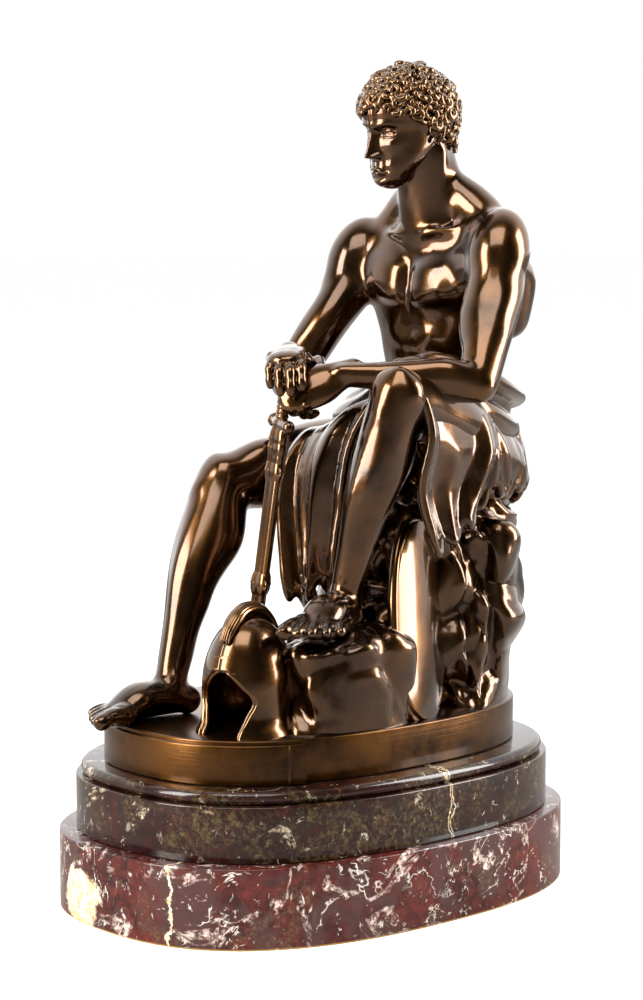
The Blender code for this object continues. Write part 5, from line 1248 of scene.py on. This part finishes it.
def markNodes(tree, objectPlace, place, tier):
    # masks of the marks that have a place of their own: the distance to each is pushed about by noise
    marks = marbleMarks
    push = noiseNode(tree, place, 55.0, 7.0, 0.65).outputs["Fac"]
    parts = tree.nodes.new("ShaderNodeSeparateXYZ")
    tree.links.new(objectPlace, parts.inputs[0])
    x, y = parts.outputs[0], parts.outputs[1]
    swing = mathNode(tree, "MULTIPLY", mathNode(tree, "SUBTRACT", push, 0.5), 0.022)

    def distanceTo(value, mark):
        # along one axis, pushed about by the noise
        pushed = mathNode(tree, "ADD", mathNode(tree, "SUBTRACT", value, mark), swing)
        return mathNode(tree, "ABSOLUTE", pushed)

    def fall(distance, size, stops):
        # ramp over the distance as a share of a size
        return rampNode(tree, mathNode(tree, "DIVIDE", distance, size), stops)

    if tier == "upper":
        away = distanceTo(y, marks["crack"])
        line = fall(away, marks["crackHalf"] * 4, [(0.20, 1.0), (0.30, 0.0)])
        beside = fall(away, marks["crackHalf"] * 10, [(0.15, 0.9), (0.30, 0.0)])
        side = mathNode(tree, "GREATER_THAN", x, 0.02)
        return mathNode(tree, "MULTIPLY", beside, side), mathNode(tree, "MULTIPLY", line, side)
    vein = fall(distanceTo(x, marks["vein"]), marks["veinHalf"] * 4, [(0.15, 1.0), (0.32, 0.0)])
    vein = mathNode(tree, "MULTIPLY", vein, mathNode(tree, "LESS_THAN", y, -0.10))
    gap = tree.nodes.new("ShaderNodeVectorMath")
    gap.operation = "DISTANCE"
    tree.links.new(objectPlace, gap.inputs[0])
    gap.inputs[1].default_value = marks["creamPatch"]
    reach = mathNode(tree, "ADD", gap.outputs["Value"], mathNode(tree, "MULTIPLY", swing, 1.8))
    patch = fall(reach, marks["creamRadius"] * 2, [(0.44, 1.0), (0.52, 0.0)])
    return mathNode(tree, "MAXIMUM", vein, patch), 0.0


def marbleFinish(name, tier):
    # red breccia marble: mottled ground, red and grey clouds, lacy ochre patches, pale broken patches, veins,
    # and a trace of glue along the foot
    look = marbleLook[tier]
    material, tree, shader, objectPlace = newMaterial(name, {
        "IOR": 1.45, "Specular IOR Level": 0.35, "Coat Weight": 0.15, "Coat Roughness": 0.04})
    shifted = tree.nodes.new("ShaderNodeVectorMath")
    shifted.operation = "ADD"
    tree.links.new(objectPlace, shifted.inputs[0])
    shifted.inputs[1].default_value = look["shift"]
    place = shifted.outputs[0]
    deep, mid, bright = look["ground"]
    mottle = noiseNode(tree, place, 110.0, 9.0, 0.70, 0.5).outputs["Fac"]
    colour = rampNode(tree, mottle, [(0.34, deep), (0.50, mid), (0.70, bright)])
    fine = noiseNode(tree, place, 520.0, 6.0, 0.75).outputs["Fac"]
    lace = noiseNode(tree, place, 240.0, 8.0, 0.75, 0.4).outputs["Fac"]
    clouds = mathNode(tree, "MULTIPLY", maskNode(tree, place, 9.0, look["redShare"], 0.10),
                      rampNode(tree, mottle, [(0.38, 0.25), (0.62, 1.0)]), True)
    colour = mixNode(tree, clouds, colour, bright)
    smoke = mathNode(tree, "MULTIPLY", maskNode(tree, place, 27.0, 0.42, 0.05, 3.0, 0.6), 0.75)
    colour = mixNode(tree, smoke, colour, look["grey"])
    laceMask = mathNode(tree, "MULTIPLY", maskNode(tree, place, 15.0, look["laceShare"], 0.06, 7.0, 1.2),
                        rampNode(tree, lace, [(0.46, 0.0), (0.60, 1.0)]), True)
    ochre = rampNode(tree, fine, [(0.36, look["lace"][0]), (0.64, look["lace"][1])])
    colour = mixNode(tree, laceMask, colour, ochre)
    depth = look["depth"]
    colour = mixNode(tree, 1.0, colour, (depth, depth, depth), "MULTIPLY")
    pale = mathNode(tree, "MULTIPLY", maskNode(tree, place, 19.0, look["paleShare"], 0.03, 7.0, 2.0),
                    rampNode(tree, lace, [(0.44, 0.0), (0.56, 1.0)]), True)
    colour = mixNode(tree, pale, colour, look["pale"])
    keep = look["veinShare"]
    veins = ((7.0, 0.007, keep, (4.1, 0.0, 7.3)), (21.0, 0.010, keep * 0.8, (0.0, 9.2, 1.1)),
             (70.0, 0.022, keep * 0.5, (6.6, 2.0, 0.0)))
    for scale, width, share, seed in veins:
        colour = mixNode(tree, veinNode(tree, place, scale, width, share, seed), colour, look["vein"])
    light, dark = markNodes(tree, objectPlace, place, tier)
    worn = rampNode(tree, lace, [(0.34, 0.35), (0.50, 1.0)])
    creams = rampNode(tree, mottle, [(0.40, (0.60, 0.54, 0.44)), (0.55, (0.52, 0.34, 0.14)),
                                     (0.62, (0.58, 0.50, 0.38))])
    colour = mixNode(tree, mathNode(tree, "MULTIPLY", light, worn, True), colour, creams)
    specks = rampNode(tree, fine, [(0.28, 0.55), (0.40, 0.0)])
    colour = mixNode(tree, specks, colour, (0.012, 0.007, 0.006))
    if tier == "upper":
        colour = mixNode(tree, dark, colour, (0.008, 0.005, 0.004))
    else:
        parts = tree.nodes.new("ShaderNodeSeparateXYZ")
        tree.links.new(objectPlace, parts.inputs[0])
        high = mathNode(tree, "DIVIDE", parts.outputs[2], marbleLook["glueHeight"])
        colour = mixNode(tree, rampNode(tree, high, [(0.25, 0.8), (1.0, 0.0)]), colour, marbleLook["glue"])
    tree.links.new(colour, shader.inputs["Base Color"])
    tree.links.new(rampNode(tree, fine, [(0.35, 0.10), (0.70, 0.22)]), shader.inputs["Roughness"])
    tree.links.new(bumpNode(tree, fine, 0.05, 0.0002), shader.inputs["Normal"])
    return material


def dress(obj, material):
    obj.data.materials.clear()
    obj.data.materials.append(material)


# The object

print("shaping the figure")
# voxel size in metres, rounds of smoothing, most triangles, and rounds of smoothing about the spots
fusing = {
    "figure": {"voxel": 0.0010, "passes": 8, "most": 145000, "blend": 230},
    "leg": {"voxel": 0.0010, "passes": 5, "most": 84000, "blend": 200},
    "hands": {"voxel": 0.0006, "passes": 4, "most": 76000, "blend": 90},
    "ears": {"voxel": 0.0004, "passes": 5},
    "cloak": {"voxel": 0.0011, "passes": 10, "most": 110000},
    "rock": {"voxel": 0.0015, "passes": 4, "most": 84000},
}
skinBronze = bronzeFinish("bronzeSkin", warmth=0.75, gloss=0.22, rub=0.35, grain=0.03)
hairBronze = bronzeFinish("bronzeHair", warmth=0.45, gloss=0.26, rub=0.30, grain=0.06)
clothBronze = bronzeFinish("bronzeCloth", warmth=0.55, gloss=0.26, rub=0.45, grain=0.06)
rockBronze = bronzeFinish("bronzeRock", warmth=0.50, gloss=0.24, rub=0.40, grain=0.08)
armsBronze = bronzeFinish("bronzeArms", warmth=0.95, gloss=0.24, rub=0.55, grain=0.04)
plateBronze = bronzeFinish("bronzePlate", warmth=1.1, gloss=0.32, rub=0.0, grain=0.30, brushed=True)

dress(bronzePiece("figure", [trunk()] + shoulders() + neck()
                  + arm(pose["shoulderR"], elbowR, pose["wristR"], -1)
                  + arm(pose["shoulderL"], elbowL, pose["wristL"], 1),
                  spots=bodySpots(), **fusing["figure"]), skinBronze)
for name, way, heading, sole in (("Right", -1, (0.02, -1, 0), 0.0),
                                 ("Left", 1, (0.40, -0.92, 0), pose["ledge"])):
    hip, knee, ankle = (pose[joint + name[0]] for joint in ("hip", "knee", "ankle"))
    dress(bronzePiece("leg" + name, leg(hip, knee, ankle, way) + foot(ankle, heading, way, sole),
                      spots=[(knee, 0.40), (ankle, 0.20)], **fusing["leg"]), skinBronze)
hands = hand(pose["shoulderR"], elbowR, pose["wristR"],
             pose["pommel"] + (0.10, -0.12, 0.10) - pose["wristR"],
             (0.0, 0.1, -1), (0.8, 0.5, 0.2), ((26, 34, 22), (28, 36, 24), (30, 38, 24), (32, 38, 26)),
             (0.35, -0.25, -0.75))
hands += hand(pose["shoulderL"], elbowL, pose["wristL"],
              pose["pommel"] + (0.06, -0.02, -0.22) - pose["wristL"],
              (-0.35, 0.72, -0.30), (0, 0, 1), ((62, 62, 40), (64, 62, 40), (66, 62, 40), (68, 60, 40)),
              (-0.55, 0.35, 0.25))
dress(bronzePiece("hands", hands, spots=[(pose["wristR"], 0.24), (pose["wristL"], 0.24)],
                  **fusing["hands"]), skinBronze)
dress(bronzePiece("head", onHead([skull()])), skinBronze)
dress(bronzePiece("ears", onHead(ear(1) + ear(-1)), **fusing["ears"]), skinBronze)
dress(bronzePiece("hair", onHead(hair())), hairBronze)
dress(bronzePiece("swordAndSheath", sword()), armsBronze)
dress(bronzePiece("helmet", helmet()), armsBronze)
dress(bronzePiece("shield", shield()), armsBronze)
dress(bronzePiece("cloak", cloak(), **fusing["cloak"]), clothBronze)
rockPiece = bronzePiece("rock", rock(), **fusing["rock"])
roughen(rockPiece, 0.013, 0.040, 3)
dress(rockPiece, rockBronze)

print("shaping the plinth")


def plinthPiece(name, shapes, node, material):
    obj = joined(name, shapes, 1.0, 0.0)
    obj.data.set_sharp_from_angle(angle=math.radians(50))
    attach(obj, "root")
    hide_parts(node)
    dress(obj, material)
    print(name, len(obj.data.polygons), "faces")


plinthPiece("terrace", terrace(), "bronze_group", plateBronze)
plinthPiece("marbleUpper", upperMarble(), "marble_upper_tier",
            marbleFinish("marbleDark", "upper"))
plinthPiece("marbleLower", lowerMarble(), "marble_lower_tier",
            marbleFinish("marbleRed", "lower"))


# Room, light and camera

studio = {
    "azimuth": 0.84083, "elevation": 0.110931, "distance": 1.8435, "aimHeight": 0.27921, "aimRight": 0.003918,
    "focal": 93.190, "floorHalf": 20.0, "lampAim": 0.30,
}
# towards: azimuth in degrees, counted as the camera's is; size: width and height; power in watts
softboxes = {
    "leftBox": {"towards": -12, "distance": 1.5, "height": 0.85, "size": (0.65, 1.4), "power": 52},
    "rightBox": {"towards": 138, "distance": 1.4, "height": 0.75, "size": (0.5, 1.3), "power": 36},
    "topBox": {"towards": 40, "distance": 0.8, "height": 1.8, "size": (1.2, 0.9), "power": 20},
}


def addSoftbox(name, towards, distance, height, size, power):
    # rectangular light beside the part, turned to a point on its axis
    angle = math.radians(towards)
    spot = Vector((math.sin(angle) * distance, -math.cos(angle) * distance, height))
    lamp = bpy.data.lights.new(name, "AREA")
    lamp.shape = "RECTANGLE"
    lamp.size, lamp.size_y = size
    lamp.energy = power
    obj = bpy.data.objects.new(name, lamp)
    obj.location = spot
    obj.rotation_euler = (Vector((0, 0, studio["lampAim"])) - spot).to_track_quat("-Z", "Y").to_euler()
    bpy.context.scene.collection.objects.link(obj)


def addRoom():
    half = studio["floorHalf"]
    mesh = bpy.data.meshes.new("floor")
    corners = [(-half, -half, 0), (half, -half, 0), (half, half, 0), (-half, half, 0)]
    mesh.from_pydata(corners, [], [(0, 1, 2, 3)])
    floor = bpy.data.objects.new("floor", mesh)
    bpy.context.scene.collection.objects.link(floor)
    # the floor is white, and grey in reflections, so that the undersides of the bronze stay dark
    material, floorTree, shader = newMaterial("paleFloor",
                                              {"Roughness": 1.0, "Specular IOR Level": 0.0})[:3]
    glossy = floorTree.nodes.new("ShaderNodeLightPath").outputs["Is Glossy Ray"]
    shade = mixNode(floorTree, glossy, (0.995, 0.995, 0.995), (0.30, 0.28, 0.26))
    floorTree.links.new(shade, shader.inputs["Base Color"])
    dress(floor, material)
    world = bpy.data.worlds.new("studio")
    bpy.context.scene.world = world
    world.use_nodes = True
    tree = world.node_tree
    background = tree.nodes["Background"]
    # glossy rays see a pale room behind, black flags to the sides and a dim wall behind the camera
    direction = tree.nodes.new("ShaderNodeTexCoord").outputs["Generated"]
    dot = tree.nodes.new("ShaderNodeVectorMath")
    dot.operation = "DOT_PRODUCT"
    tree.links.new(direction, dot.inputs[0])
    angle = studio["azimuth"]
    dot.inputs[1].default_value = (math.sin(angle), -math.cos(angle), 0.1)
    level = mathNode(tree, "ADD", mathNode(tree, "MULTIPLY", dot.outputs["Value"], 0.5), 0.5)
    shade = rampNode(tree, level, [(0.36, 1.6), (0.49, 0.65), (0.58, 0.06), (0.82, 0.025),
                                   (0.95, (0.13, 0.105, 0.078)), (1.0, (0.27, 0.225, 0.165))])
    glossy = tree.nodes.new("ShaderNodeLightPath").outputs["Is Glossy Ray"]
    tree.links.new(mixNode(tree, glossy, (1.0, 1.0, 1.0), shade), background.inputs["Color"])
    background.inputs["Strength"].default_value = 1.0


def addCamera():
    turn, rise = studio["azimuth"], studio["elevation"]
    back = Vector((math.sin(turn) * math.cos(rise), -math.cos(turn) * math.cos(rise), math.sin(rise)))
    right = Vector((math.cos(turn), math.sin(turn), 0))
    camera = bpy.data.cameras.new("camera")
    camera.sensor_fit = "VERTICAL"
    camera.sensor_height = 36
    camera.lens = studio["focal"]
    camera.clip_start = 0.05
    obj = bpy.data.objects.new("camera", camera)
    aim = Vector((0, 0, studio["aimHeight"])) + right * studio["aimRight"]
    obj.location = aim + back * studio["distance"]
    obj.rotation_euler = back.to_track_quat("Z", "Y").to_euler()
    bpy.context.scene.collection.objects.link(obj)
    bpy.context.scene.camera = obj


addRoom()
for name, box in softboxes.items():
    addSoftbox(name, **box)
addCamera()
bpy.context.scene.view_settings.view_transform = "Standard"
print("room, light and camera placed")
